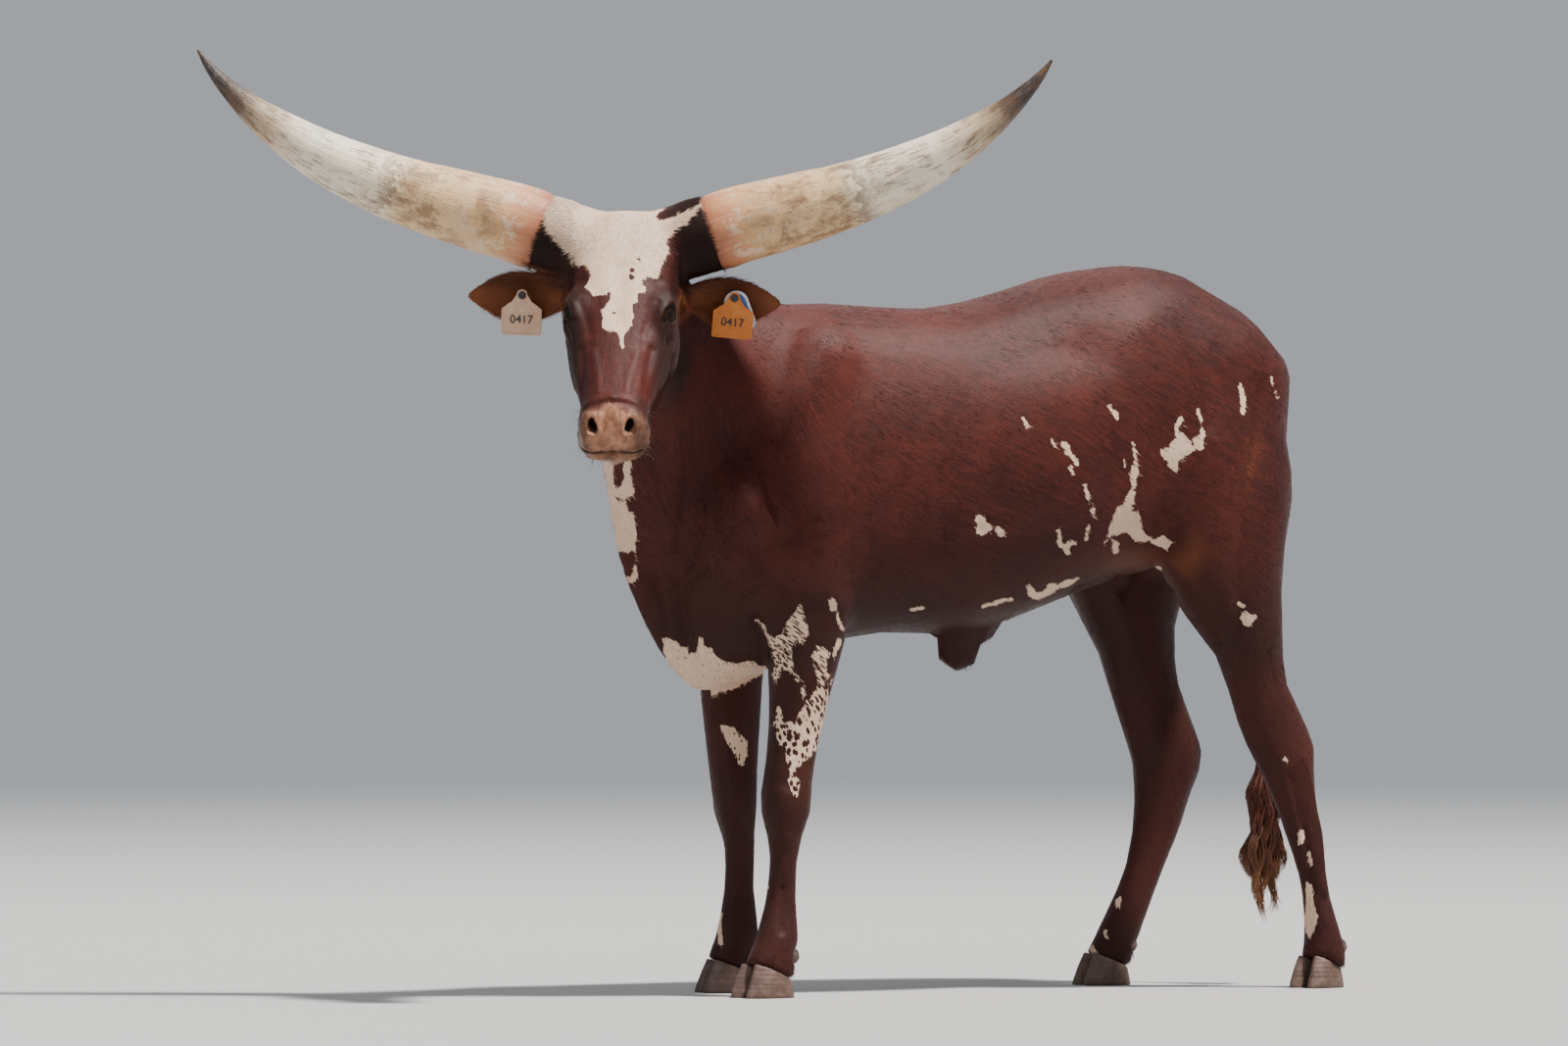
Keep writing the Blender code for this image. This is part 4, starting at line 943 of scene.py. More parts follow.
@dataclass(frozen=True)
class Eye:
    """One eyeball with its lids, in the head's frame."""

    sign: float
    along: float = 0.213
    aside: float = 0.0785
    sink: float = -0.0385
    radius: float = 0.0228
    long: float = 0.0215
    tall: float = 0.0136
    pinch: float = 0.28  # how far both corners narrow
    lower: float = 0.86  # height of the lower lid's arch to the upper one's
    margin: tuple = (0.0044, 0.0032)  # half width and half thickness of a lid's edge
    gaze: tuple = (0.1, 0.68, 0.72)
    corner: tuple = (0.91, 0.0, 0.41)
    pupil: tuple = (0.36, 0.19)

    @property
    def side(self) -> str:
        """Return the word for the side."""
        return "left" if self.sign > 0 else "right"

    def frame(self) -> Matrix:
        """Return the frame with X to the inner corner and Z the way the eye looks.

        Returns:
            The eye's frame in the shared frame.
        """
        way = Vector((self.gaze[0], self.sign * self.gaze[1], self.gaze[2])).normalized()
        inner = Vector(self.corner)
        inner = (inner - way * inner.dot(way)).normalized()
        place = Vector((self.along, self.sign * self.aside, self.sink))
        return POSE.face() @ framed(place, inner, way.cross(inner))

    def rim(self, reach: float, grow: float, count: int = 40) -> list:
        """Return the almond edge between the lids, on a ball a little larger than the eye.

        Args:
            reach: how far it stands off the eyeball.
            grow: how far it lies outside the opening.
            count: points of the edge.

        Returns:
            The points in the eye's frame.
        """
        made = []
        size = self.radius + reach
        for step in range(count):
            angle = tau * step / count
            c, s = cos(angle), sin(angle)
            x = (self.long + grow) * c
            y = (self.tall + grow) * s * (1 - self.pinch * c * c) * (1 if s > 0 else self.lower)
            z = sqrt(max(size * size - x * x - y * y, 1e-8))
            made.append(Vector((x, y, z)))
        return made

    def clear(self, points: Points) -> Points:
        """Return the points with those between the lids sunk under the ball.

        Args:
            points: an N by 3 array in the shared frame, in metres.

        Returns:
            The moved points.
        """
        frame_here = np.array(self.frame())
        here = (points - frame_here[:3, 3]) @ frame_here[:3, :3]
        ball = np.sqrt(np.maximum(self.radius ** 2 - here[:, 0] ** 2 - here[:, 1] ** 2, 1e-8))
        part = np.hypot(here[:, 0] / self.long, here[:, 1] / self.tall)
        inside = fall(part, 0.84, 1.02) * (here[:, 2] > 0) * (here[:, 2] < 0.045)
        sunk = np.minimum(ball - 0.0035 - here[:, 2], 0) * inside
        return points + sunk[:, None] * frame_here[:3, 2]

    def lids(self) -> Mesh:
        """Return the rounded margins of both lids as a closed ring.

        Returns:
            The mesh in the shared frame.
        """
        frame_here = self.frame()
        inner, outer = self.rim(0.0008, 0), self.rim(0.0014, 0.0058)
        rings = []
        for near, away in zip(inner, outer):
            across = (away - near).normalized()
            up = near.normalized()
            centre = (near + away) / 2
            ring = oval(centre, across, up, *self.margin, 10)
            rings.append([frame_here @ point for point in ring])
        return mesh_from("lids", *loft(rings, True))


@dataclass(frozen=True)
class Ear:
    """One cupped ear that opens forward, from stations along it."""

    sign: float
    turn: float
    reach: float
    rise: float
    lean: float = 0.2
    stations: tuple = (
        (85, 22, 24, 22, -156, -20),
        (112, 27, 26, 20, -155, -22),
        (140, 37, 28, 13, -154, -26),
        (170, 44, 27, 8.5, -154, -30),
        (200, 45, 23, 7.5, -154, -34),
        (230, 39, 18, 6.8, -152, -38),
        (258, 26, 12, 6.2, -150, -42),
        (279, 12, 7, 5.2, -148, -45),
        (287, 5, 4, 3.6, -147, -47),
    )

    def frame(self) -> Matrix:
        """Return the ear's frame: X to the left, Y forward, Z up.

        Returns:
            The ear's frame in the shared frame.
        """
        root = Vector((self.sign * 0.11, 0, -0.155))
        made = POSE.level() @ Matrix.Translation(root + Vector((0, 0, self.rise)))
        made = made @ Matrix.Rotation(self.turn, 4, "Y") @ Matrix.Scale(self.reach, 4)
        return made @ Matrix.Translation(-root)

    def solid(self) -> Mesh:
        """Return the flap as a closed mesh.

        Returns:
            The mesh in the shared frame.
        """
        frame_here = self.frame()
        rings = []
        steps = 18
        for along, half, deep, wall, rise, forward in spline(self.stations, 5):
            angles = [pi * (step / steps - 0.5) for step in range(steps + 1)]
            ring = [(-deep * cos(angle), half * sin(angle)) for angle in angles]
            hollow = max(deep - wall, 0.0002)
            ring += [(-hollow * cos(a), (half - wall * 0.5) * sin(a)) for a in angles[-2:0:-1]]
            row = [(self.sign * along, forward + back + high * self.lean, rise + high) for back, high in ring]
            rings.append([frame_here @ Vector(point) for point in row])
        return mesh_from("ear", *loft(rings))

    def local(self, points: Points) -> Points:
        """Return points in the ear's frame, with the first number running outward."""
        made = within(points, self.frame())
        made[:, 0] *= self.sign
        return made

    def cup(self, points: Points) -> tuple[Points, Points]:
        """Return how far each point is inside the cup's mouth, and how far along the ear.

        Args:
            points: an N by 3 array in the shared frame.

        Returns:
            Two arrays in metres; off the ear they are -1 and 0.
        """
        here = self.local(points)
        table = np.array(spline(self.stations, 5))
        half, deep, wall, middle, front = (np.interp(here[:, 0], table[:, 0], row) for row in table.T[1:])
        high = here[:, 2] - middle
        back = here[:, 1] - front - high * self.lean
        part = np.sqrt(np.clip(1 - (high / np.maximum(half, 1e-4)) ** 2, 0, 1))
        shell = -(deep - wall * 0.5) * part
        near = (here[:, 0] > 0.098) & (here[:, 0] < 0.3)
        near &= (np.abs(high) < half + 0.012) & (np.abs(back) < 0.06)
        return np.where(near, back - shell, -1), np.where(near, here[:, 0], 0)


@dataclass(frozen=True)
class Nostril:
    """One flared nostril, leaning outward at its top, in the head's frame."""

    sign: float
    along: float = 0.473
    aside: float = 0.0335
    out: float = -0.0215
    lean: float = radians(30.0)
    long: float = 0.0135
    wide: float = 0.0078
    depth: float = 0.02
    band: float = 0.022  # how far from the rim's plane the skin is moved
    wing: float = 0.0028  # height of the raised rim

    def frame(self) -> Matrix:
        """Return the frame with X along the opening, Y across it and Z out of it.

        Returns:
            The nostril's frame in the shared frame.
        """
        way = Vector((1, 0.16 * self.sign, 0.55)).normalized()
        top = Vector((-0.3, self.sign * sin(self.lean), cos(self.lean)))
        top = (top - way * top.dot(way)).normalized()
        place = Vector((self.along, self.aside * self.sign, self.out))
        return POSE.face() @ framed(place, top, way.cross(top))

    def plug(self) -> Mesh:
        """Return the body that fills the solid's rough hole from inside.

        Returns:
            The mesh in the shared frame.
        """
        mesh = ball_mesh("plug", 32, 20, 1)
        shape = Matrix.Translation(Vector((0, 0, -0.0255))) @ Matrix.Diagonal((0.017, 0.015, 0.027, 1))
        mesh.transform(self.frame() @ shape)
        return mesh

    def reach(self, points: Points) -> tuple[Points, Points]:
        """Return how far each point is from the middle, 1 at the rim, and its height over the rim's plane."""
        here = within(points, self.frame())
        across = here[:, 1] * self.sign / self.wide - 0.25 * (here[:, 0] / self.long) ** 2
        return np.hypot(here[:, 0] / self.long, across), here[:, 2]

    def carve(self, points: Points) -> Points:
        """Return the points pushed in at the opening and raised round it.

        Args:
            points: an N by 3 array in the shared frame, in metres.

        Returns:
            The moved points.
        """
        part, height = self.reach(points)
        near = np.abs(height) < self.band
        inward = self.depth * fall(part, 0.45, 1.08) * near
        wing = self.wing * np.exp(-((part - 1.45) / 0.32) ** 2) * near
        way = np.array(self.frame().to_3x3() @ UP)
        return points + way * (wing - inward)[:, None]


NOSTRILS = (Nostril(1.0), Nostril(-1.0))
EARS = (Ear(1.0, radians(6.0), 0.96, 0.001), Ear(-1.0, radians(-3.0), 1.02, 0.007))
EYES = (Eye(1.0), Eye(-1.0))


def head_places(points: Points) -> Points:
    """Return points in the head's frame: down the face, aside and out."""
    return within(points, POSE.face())


def head_part(points: Points) -> Points:
    """Return how far each point is on the head's side of the neck.

    Args:
        points: an N by 3 array in the shared frame, in metres.

    Returns:
        The distance in metres, positive on the head.
    """
    forward, _ = POSE.ways()
    start = POSE.origin() - forward * 0.135 + Vector((0.0, 0.0, -0.088))
    way = (forward * 0.934 + Vector((0.0, 0.0, 0.358))).normalized()
    return (points - np.array(start)) @ np.array(way)


@dataclass
class Skin:
    """The one skin over all flesh: remeshed, faired, folded, marked and thinned."""

    voxel: float = 0.003
    triangles: int = 195000
    nodes: tuple = (
        "head", "neck", "torso", "tail",
        "leg_front_left", "leg_front_right", "leg_hind_left", "leg_hind_right",
    )
    inset: float = 0.001
    passes: int = 230  # of smoothing over the trunk
    thing: Thing = field(default=None, init=False)

    def build(self) -> Thing:
        """Return the finished skin.

        Returns:
            The object.
        """
        meshes = [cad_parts[name].data for name in self.nodes]
        extra = [ear.solid() for ear in EARS] + [eye.lids() for eye in EYES]
        extra += [hole.plug() for hole in NOSTRILS]
        skin = joined("skin", meshes, extra)
        modified(skin, "REMESH", mode="VOXEL", voxel_size=self.voxel)
        self.thing = skin
        self.fair()
        self.fold()
        self.thin()
        for name, values in TONES.all(coords(skin.data)).items():
            store(skin.data, name, values)
        return smoothly(skin)

    def fair(self) -> None:
        """Smooth the broad facets of the trunk, and the head and legs only a little."""
        skin = self.thing
        weigh(skin, "soft", self.softness(coords(skin.data)))
        modified(skin, "SMOOTH", factor=0.5, iterations=self.passes, vertex_group="soft")
        modified(skin, "SMOOTH", factor=0.5, iterations=3)
        set_coords(skin.data, coords(skin.data) - normals(skin.data) * self.inset)

    @staticmethod
    def softness(points: Points) -> Points:
        """Return how much each point is smoothed: most on the trunk, least on head and tail.

        Args:
            points: an N by 3 array in the shared frame, in metres.

        Returns:
            A share from 0 to 1 for each point.
        """
        on_leg, on_neck, on_sheath, least = 0.12, 0.42, 0.26, 0.0625
        x, y, z = points.T
        soft = on_leg + (1 - on_leg) * ramp(z, 0.62, 0.8)
        front = fall(y, -0.26, -0.06)
        soft = soft * (1 - front) + np.minimum(soft, on_neck) * front
        head = ramp(head_part(points), -0.03, 0.03)
        soft = soft * (1 - head) + least * head
        sheath = np.exp(-((y - 0.334) ** 2 + (x - SPINE) ** 2) / 0.01) * (z < 0.74)
        soft = soft * (1 - sheath) + on_sheath * sheath
        tail = (y > 0.955) & (np.abs(x - SPINE) < 0.032) & (z < 1.2)
        return np.where(tail, least, soft)

    def fold(self) -> None:
        """Press folds and raise ridges."""
        mesh = self.thing.data
        points, outward = coords(mesh), normals(mesh)
        tree = BVHTree.FromObject(self.thing, bpy.context.evaluated_depsgraph_get())
        face = POSE.face()
        move = np.zeros(len(points))
        for stroke in BODY_STROKES + HEAD_STROKES:
            for flipped in (False, True) if stroke.mirror else (False,):
                spots = self.spots(stroke, flipped, tree, face)
                if len(spots) > 1:
                    move += self.pressed(points, np.array(spots), stroke)
        points += outward * move[:, None]
        for hole in NOSTRILS:
            points = hole.carve(points)
        for eye in EYES:
            points = eye.clear(points)
        set_coords(mesh, points)

    @staticmethod
    def spots(stroke: Stroke, flipped: bool, tree: BVHTree, face: Matrix) -> list:
        """Return the places on the skin that a stroke runs through.

        Args:
            stroke: the fold or ridge.
            flipped: whether it lies on the other side.
            tree: the skin's faces.
            face: the head's frame.

        Returns:
            The places found, in order.
        """
        made = []
        for spot in stroke.line:
            if stroke.head:
                place = Vector([size / 1000 for size in spot])
                place.y = -place.y if flipped else place.y
                made.append(tree.find_nearest(face @ place)[0])
                continue
            hit = tree.ray_cast(*VIEW.ray(*spot))[0]
            if hit is not None and flipped:
                hit = tree.find_nearest(Vector((2 * SPINE - hit.x, hit.y, hit.z)))[0]
            if hit is not None:
                made.append(hit)
        return made

    @staticmethod
    def pressed(points: Points, spots: Points, stroke: Stroke) -> Points:
        """Return how far each point moves along its normal for one stroke.

        Args:
            points: the skin's vertices.
            spots: the places that the stroke runs through.
            stroke: its radius and depth.

        Returns:
            One number for each point.
        """
        made = np.zeros(len(points))
        radius, depth = stroke.radius / 1000, stroke.depth / 1000
        margin = radius * 2.6
        low, high = spots.min(0) - margin, spots.max(0) + margin
        near = np.all((points > low) & (points < high), axis=1)
        here = points[near]
        best = np.full(len(here), FAR)
        for start, end in zip(spots[:-1], spots[1:]):
            way = end - start
            part = np.clip(((here - start) @ way) / max(way @ way, 1e-9), 0, 1)
            best = np.minimum(best, np.linalg.norm(here - start - part[:, None] * way, axis=1))
        made[near] = depth * np.exp(-(best / radius) ** 2)
        return made

    def thin(self) -> None:
        """Thin the broad forms, and keep the head, the ears and the edges of markings fine."""
        skin = self.thing
        points = coords(skin.data)
        keep = ramp(head_part(points), -0.02, 0.04)
        keep = np.maximum(keep, ramp(MARKS.field(points), -0.012, -0.004) * 0.75)
        keep = np.maximum(keep, 0.35 * fall(points[:, 2], 0.1, 0.62))
        weigh(skin, "loose", 1 - 0.94 * keep)
        count = sum(len(face.vertices) - 2 for face in skin.data.polygons)
        modified(
            skin, "DECIMATE", ratio=self.triangles / count, use_collapse_triangulate=True,
            vertex_group="loose", vertex_group_factor=1,
        )
        skin.vertex_groups.clear()


class Tones:
    """The tones of the coat that change over the body, painted light and shade among them, and its combed
    directions.
    """

    angles: tuple = (30.0, 58.0, 86.0)  # how steeply the hair falls on body, neck and legs
    # painted light: lighter, redder spots where light fell on the seen flank, groin and hocks, as column, row,
    # width and height in pixels, and strength
    spots: tuple = (
        (1279, 484, 15, 24, 1), (1214, 572, 18, 15, 0.9), (1160, 572, 44, 16, 0.45),
        (1183, 810, 40, 46, 0.35), (818, 790, 22, 60, 0.25),
    )

    def all(self, points: Points) -> dict:
        """Return every tone by the name that the finishes read.

        Args:
            points: an N by 3 array in the shared frame, in metres.

        Returns:
            A number or a vector for each point under each name.
        """
        return {
            "cream": MARKS.field(points),
            "speckle": MARKS.speckled(points),
            "dark": self.dark(points),
            "warm": self.warm(points),
            "nose": self.nose(points),
            "comb": self.comb(points),
        }

    @staticmethod
    def blob(points: Points, column: float, row: float, wide: float, tall: float) -> Points:
        """Return a soft spot round a pixel of the seen flank."""
        pixels = VIEW.project(points)
        part = ((pixels[:, 0] - column) / wide) ** 2 + ((pixels[:, 1] - row) / tall) ** 2
        return np.exp(-part) * (points[:, 0] > SPINE)

    def dark(self, points: Points) -> Points:
        """Return black-brown cuffs, darker face sides, legs and lips, and painted shade on the muzzle's sides
        and bottom, in the mouth and nostrils, and partly under the belly.

        Args:
            points: an N by 3 array in the shared frame, in metres.

        Returns:
            A share from 0 to 1 for each point.
        """
        along, aside, out = head_places(points).T
        head = ramp(head_part(points), -0.02, 0.03)
        here, height = within(points, POSE.level()), points[:, 2]
        ears = np.maximum(*(ramp(ear.cup(points)[1], 0.095, 0.12) for ear in EARS))
        edge = np.abs(here[:, 0]) + 0.025 * ramp(here[:, 2], -0.05, 0)
        cuff = 0.88 * ramp(edge, 0.075, 0.118) * ramp(here[:, 2], -0.15, -0.12) * (1 - 0.65 * ears)
        cheek = 0.6 * ramp(np.abs(aside), 0.045, 0.085) * ramp(along, 0.1, 0.2)
        made = head * np.clip(cuff + cheek + 0.25 * fall(along, 0.3, 0.42), 0, 1)
        feet = 0.56 * fall(height, 0.55, 0.72)
        # partly painted shade under the body, partly the coat's own darker tone: the belly and lower flank
        # darkened
        under = 0.7 * fall(height, 0.62, 0.96) * ramp(height, 0.45, 0.62)
        made = np.maximum(made, 0.4 * ears * ramp(here[:, 2], -0.145, -0.115))
        # painted shade along the crease of the mouth
        gap = out + 0.072 + 0.008 * (aside / 0.05) ** 2
        mouth = 0.9 * np.exp(-(gap / 0.003) ** 2) * ramp(along, 0.4, 0.43)
        # darker lips, with painted shade where the muzzle turns away at its sides and bottom
        lips = np.maximum(0.42 * ramp(-out, 0.048, 0.064), 0.62 * ramp(np.abs(aside), 0.027, 0.048))
        lips *= ramp(along, 0.38, 0.42)
        made = np.maximum(made, np.maximum(mouth, lips) * head)
        # painted shade inside the nostrils, fading out just past their rims
        for hole in NOSTRILS:
            part, off = hole.reach(points)
            made = np.maximum(made, fall(part, 0.7, 1.25) * (np.abs(off) < 0.03))
        return np.clip(np.maximum(made, np.maximum(feet, under)), 0, 1)

    def warm(self, points: Points) -> Points:
        """Return the redder places: eyelids and ears, and painted light as lighter, redder spots on the seen
        flank, groin and hocks.

        Args:
            points: an N by 3 array in the shared frame, in metres.

        Returns:
            A share from 0 to 1 for each point.
        """
        made = np.zeros(len(points))
        # painted light on the seen flank, groin and hocks
        for *spot, strength in self.spots:
            made = np.maximum(made, strength * self.blob(points, *spot))
        for eye in EYES:
            away = np.linalg.norm(points - np.array(eye.frame().translation), axis=1)
            made = np.maximum(made, 0.55 * fall(away, 0.022, 0.036))
        for ear in EARS:
            inside, along = ear.cup(points)
            made = np.maximum(made, np.where(inside > 0, 1, 0))
            made = np.maximum(made, 0.7 * ramp(along, 0.215, 0.27))
        return made

    @staticmethod
    def nose(points: Points) -> Points:
        """Return the distance in metres inside the bare tan muzzle."""
        along, aside, out = head_places(points).T
        edge = 0.432 + 0.012 * ramp(np.abs(aside), 0, 0.03) - 0.03 * ramp(-out, 0.02, 0.1)
        return np.where(head_part(points) > 0, np.clip(along - edge, -EDGE, EDGE), -EDGE)

    @staticmethod
    def comb(points: Points) -> Points:
        """Return coordinates whose last number runs along the hair.

        Args:
            points: an N by 3 array in the shared frame, in metres.

        Returns:
            An N by 3 array.
        """
        head = (head_part(points) > 0)[:, None]
        leg = fall(points[:, 2], 0.45, 0.95)[:, None]
        neck = fall(points[:, 1], -0.4, 0.05)[:, None]
        face = head_places(points)[:, [1, 2, 0]]
        on_body, on_neck, on_leg = (Tones.turned(points, angle) for angle in Tones.angles)
        made = on_body * (1 - neck) + on_neck * neck
        made = made * (1 - leg) + on_leg * leg
        return made * (1 - head) + face * head

    @staticmethod
    def turned(points: Points, angle: float) -> Points:
        """Return body coordinates turned so that the last runs back and down."""
        c, s = cos(radians(angle)), sin(radians(angle))
        x, y, z = points.T
        return np.stack([x, s * y + c * z, c * y - s * z], 1)


MARKS = Markings()
TONES = Tones()


# Hair
class Growth:
    """Which way the hair lies at each point of the skin, as a vector in its tangent plane."""

    ways: tuple = tuple(np.array(way) for way in (
        (0, 0.87, -0.5), (0, 0.5, -0.87), (0, 0.1, -1), (0, 0.6, -0.8), (0, 0.05, -1),
    ))

    def lie(self, points: Points, outward: Points) -> Points:
        """Return the combed direction.

        Args:
            points: an N by 3 array in the shared frame, in metres.
            outward: the skin's normals there.

        Returns:
            A direction for each point.
        """
        on_body, on_neck, on_leg, on_belly, on_tail = self.ways
        neck = fall(points[:, 1], -0.22, -0.1)[:, None]
        leg = fall(points[:, 2], 0.6, 0.74)[:, None]
        made = on_body * (1 - neck) + on_neck * neck
        made = made * (1 - leg) + on_leg * leg
        under = ramp(-outward[:, 2], 0.3, 0.8)[:, None] * (1 - leg)
        made = made * (1 - under) + on_belly * under
        tail = ((points[:, 1] > 0.93) & (np.abs(points[:, 0] - SPINE) < 0.04))[:, None]
        made = np.where(tail, on_tail, made)
        head = ramp(head_part(points), -0.02, 0.02)[:, None]
        made = made * (1 - head) + self.on_head(points) * head
        made -= outward * np.sum(made * outward, axis=1)[:, None]
        return unit(made)

    def on_head(self, points: Points) -> Points:
        """Return the direction away from the whorl, along the ears, and down the face.

        Args:
            points: an N by 3 array in the shared frame.

        Returns:
            One direction for each point.
        """
        face, level = np.array(POSE.face()), np.array(POSE.level())
        along, aside, out = head_places(points).T
        away = unit(np.stack([along - 0.045, aside, 0 * out], axis=1), 0.02)
        down = np.array((1, 0, 0)) + aside[:, None] * np.array((0, 2, 0))
        near = fall(along, 0.09, 0.2)[:, None]
        made = (away * near + down * (1 - near)) @ face[:3, :3].T
        for ear in EARS:
            part = ramp(ear.cup(points)[1], 0.095, 0.115)[:, None]
            way = level[:3, 0] * ear.sign + level[:3, 2] * -0.3
            made = made * (1 - part) + way * part
        here = (points - level[:3, 3]) @ level[:3, :3]
        cuff = (ramp(np.abs(here[:, 0]), 0.095, 0.13) * ramp(here[:, 2], -0.135, -0.11))[:, None]
        way = level[:3, 0] * np.sign(here[:, 0])[:, None]
        return made * (1 - cuff) + way * cuff


GROWTH = Growth()


class Coat(Enum):
    """The pieces of the coat: density per square metre, length, width, lift, stray and seed."""

    FACE = (330000.0, 0.0085, 0.00075, 0.055, 0.26, 3)
    CUFFS = (300000.0, 0.0165, 0.00095, 0.16, 0.34, 5)
    EARS = (420000.0, 0.029, 0.00062, 0.2, 0.3, 7)
    EARBACKS = (330000.0, 0.0055, 0.0007, 0.07, 0.3, 8)
    FRONT = (60000.0, 0.012, 0.0009, 0.04, 0.2, 9)
    EDGES = (48000.0, 0.012, 0.0009, 0.045, 0.22, 11)
    TRUNK = (12000.0, 0.016, 0.0008, 0.012, 0.13, 13)
    SHANKS = (46000.0, 0.0085, 0.00085, 0.055, 0.22, 15)

    def cover(self, points: Points, outward: Points) -> tuple[Points, Points]:
        """Return where this piece grows and how long it is there, each from 0 to 1.

        Args:
            points: the skin's vertices.
            outward: their normals.

        Returns:
            Two arrays, the cover and the length.
        """
        along = head_places(points)[:, 0]
        here = within(points, POSE.level())
        head = ramp(head_part(points), 0, 0.012)
        inside, reach = np.maximum(*(np.array(ear.cup(points)) for ear in EARS))
        ears = ramp(reach, 0.098, 0.108)
        cuff = ramp(np.abs(here[:, 0]), 0.08, 0.1) * ramp(here[:, 2], -0.15, -0.13) * (1 - ears) * head
        x, y, z = points.T
        one = np.ones(len(points))
        tail = (y > 0.945) & (np.abs(x - SPINE) < 0.036) & (z < 1.24)
        if self is Coat.FACE:
            haired = fall(along, 0.41, 0.435)
            return head * (1 - ears) * (1 - cuff) * haired, 0.6 + 0.4 * fall(along, 0.05, 0.24)
        if self is Coat.CUFFS:
            return cuff, one * 0.8 + 0.2 * ramp(np.abs(here[:, 0]), 0.1, 0.14)
        cup = ramp(inside, 0.0005, 0.002) * fall(reach, 0.225, 0.262) * ears
        if self is Coat.EARS:
            return cup, 0.42 + 0.68 * fall(reach, 0.15, 0.24)
        if self is Coat.EARBACKS:
            return ears * (1 - 0.75 * cup), one
        body = 1 - head
        if self is Coat.FRONT:
            front = body * fall(y, -0.02, 0.04) * ramp(z, 0.5, 0.54)
            return front, 0.62 + 0.38 * ramp(-outward[:, 1], 0.2, 0.8)
        high = ramp(z, 0.52, 0.56) * ramp(y, -0.02, 0.04) * body
        rim = ramp(-outward[:, 2], 0.35, 0.75) + ramp(outward[:, 2], 0.86, 0.97) * 0.7
        rim = np.clip(rim + ramp(outward[:, 1], 0.55, 0.85), 0, 1)
        if self is Coat.EDGES:
            sheath = np.exp(-((y - 0.338) ** 2 + (x - SPINE) ** 2) / 0.006) * (z < 0.8)
            return np.maximum(high * rim, tail), 0.7 + 0.3 * sheath + 0.3 * tail
        if self is Coat.TRUNK:
            return high * (1 - rim) * (1 - tail), 0.85 * one
        low = fall(z, 0.52, 0.58) * (1 - tail)
        hock = ramp(outward[:, 1], 0.3, 0.8)
        fetlock = fall(z, 0.06, 0.14)
        coronet = fall(z, 0.072, 0.092)
        long = 0.62 + 0.45 * hock * fetlock + 0.2 * hock + 0.75 * coronet
        return low * (0.4 + 0.25 * hock + 0.6 * coronet), long


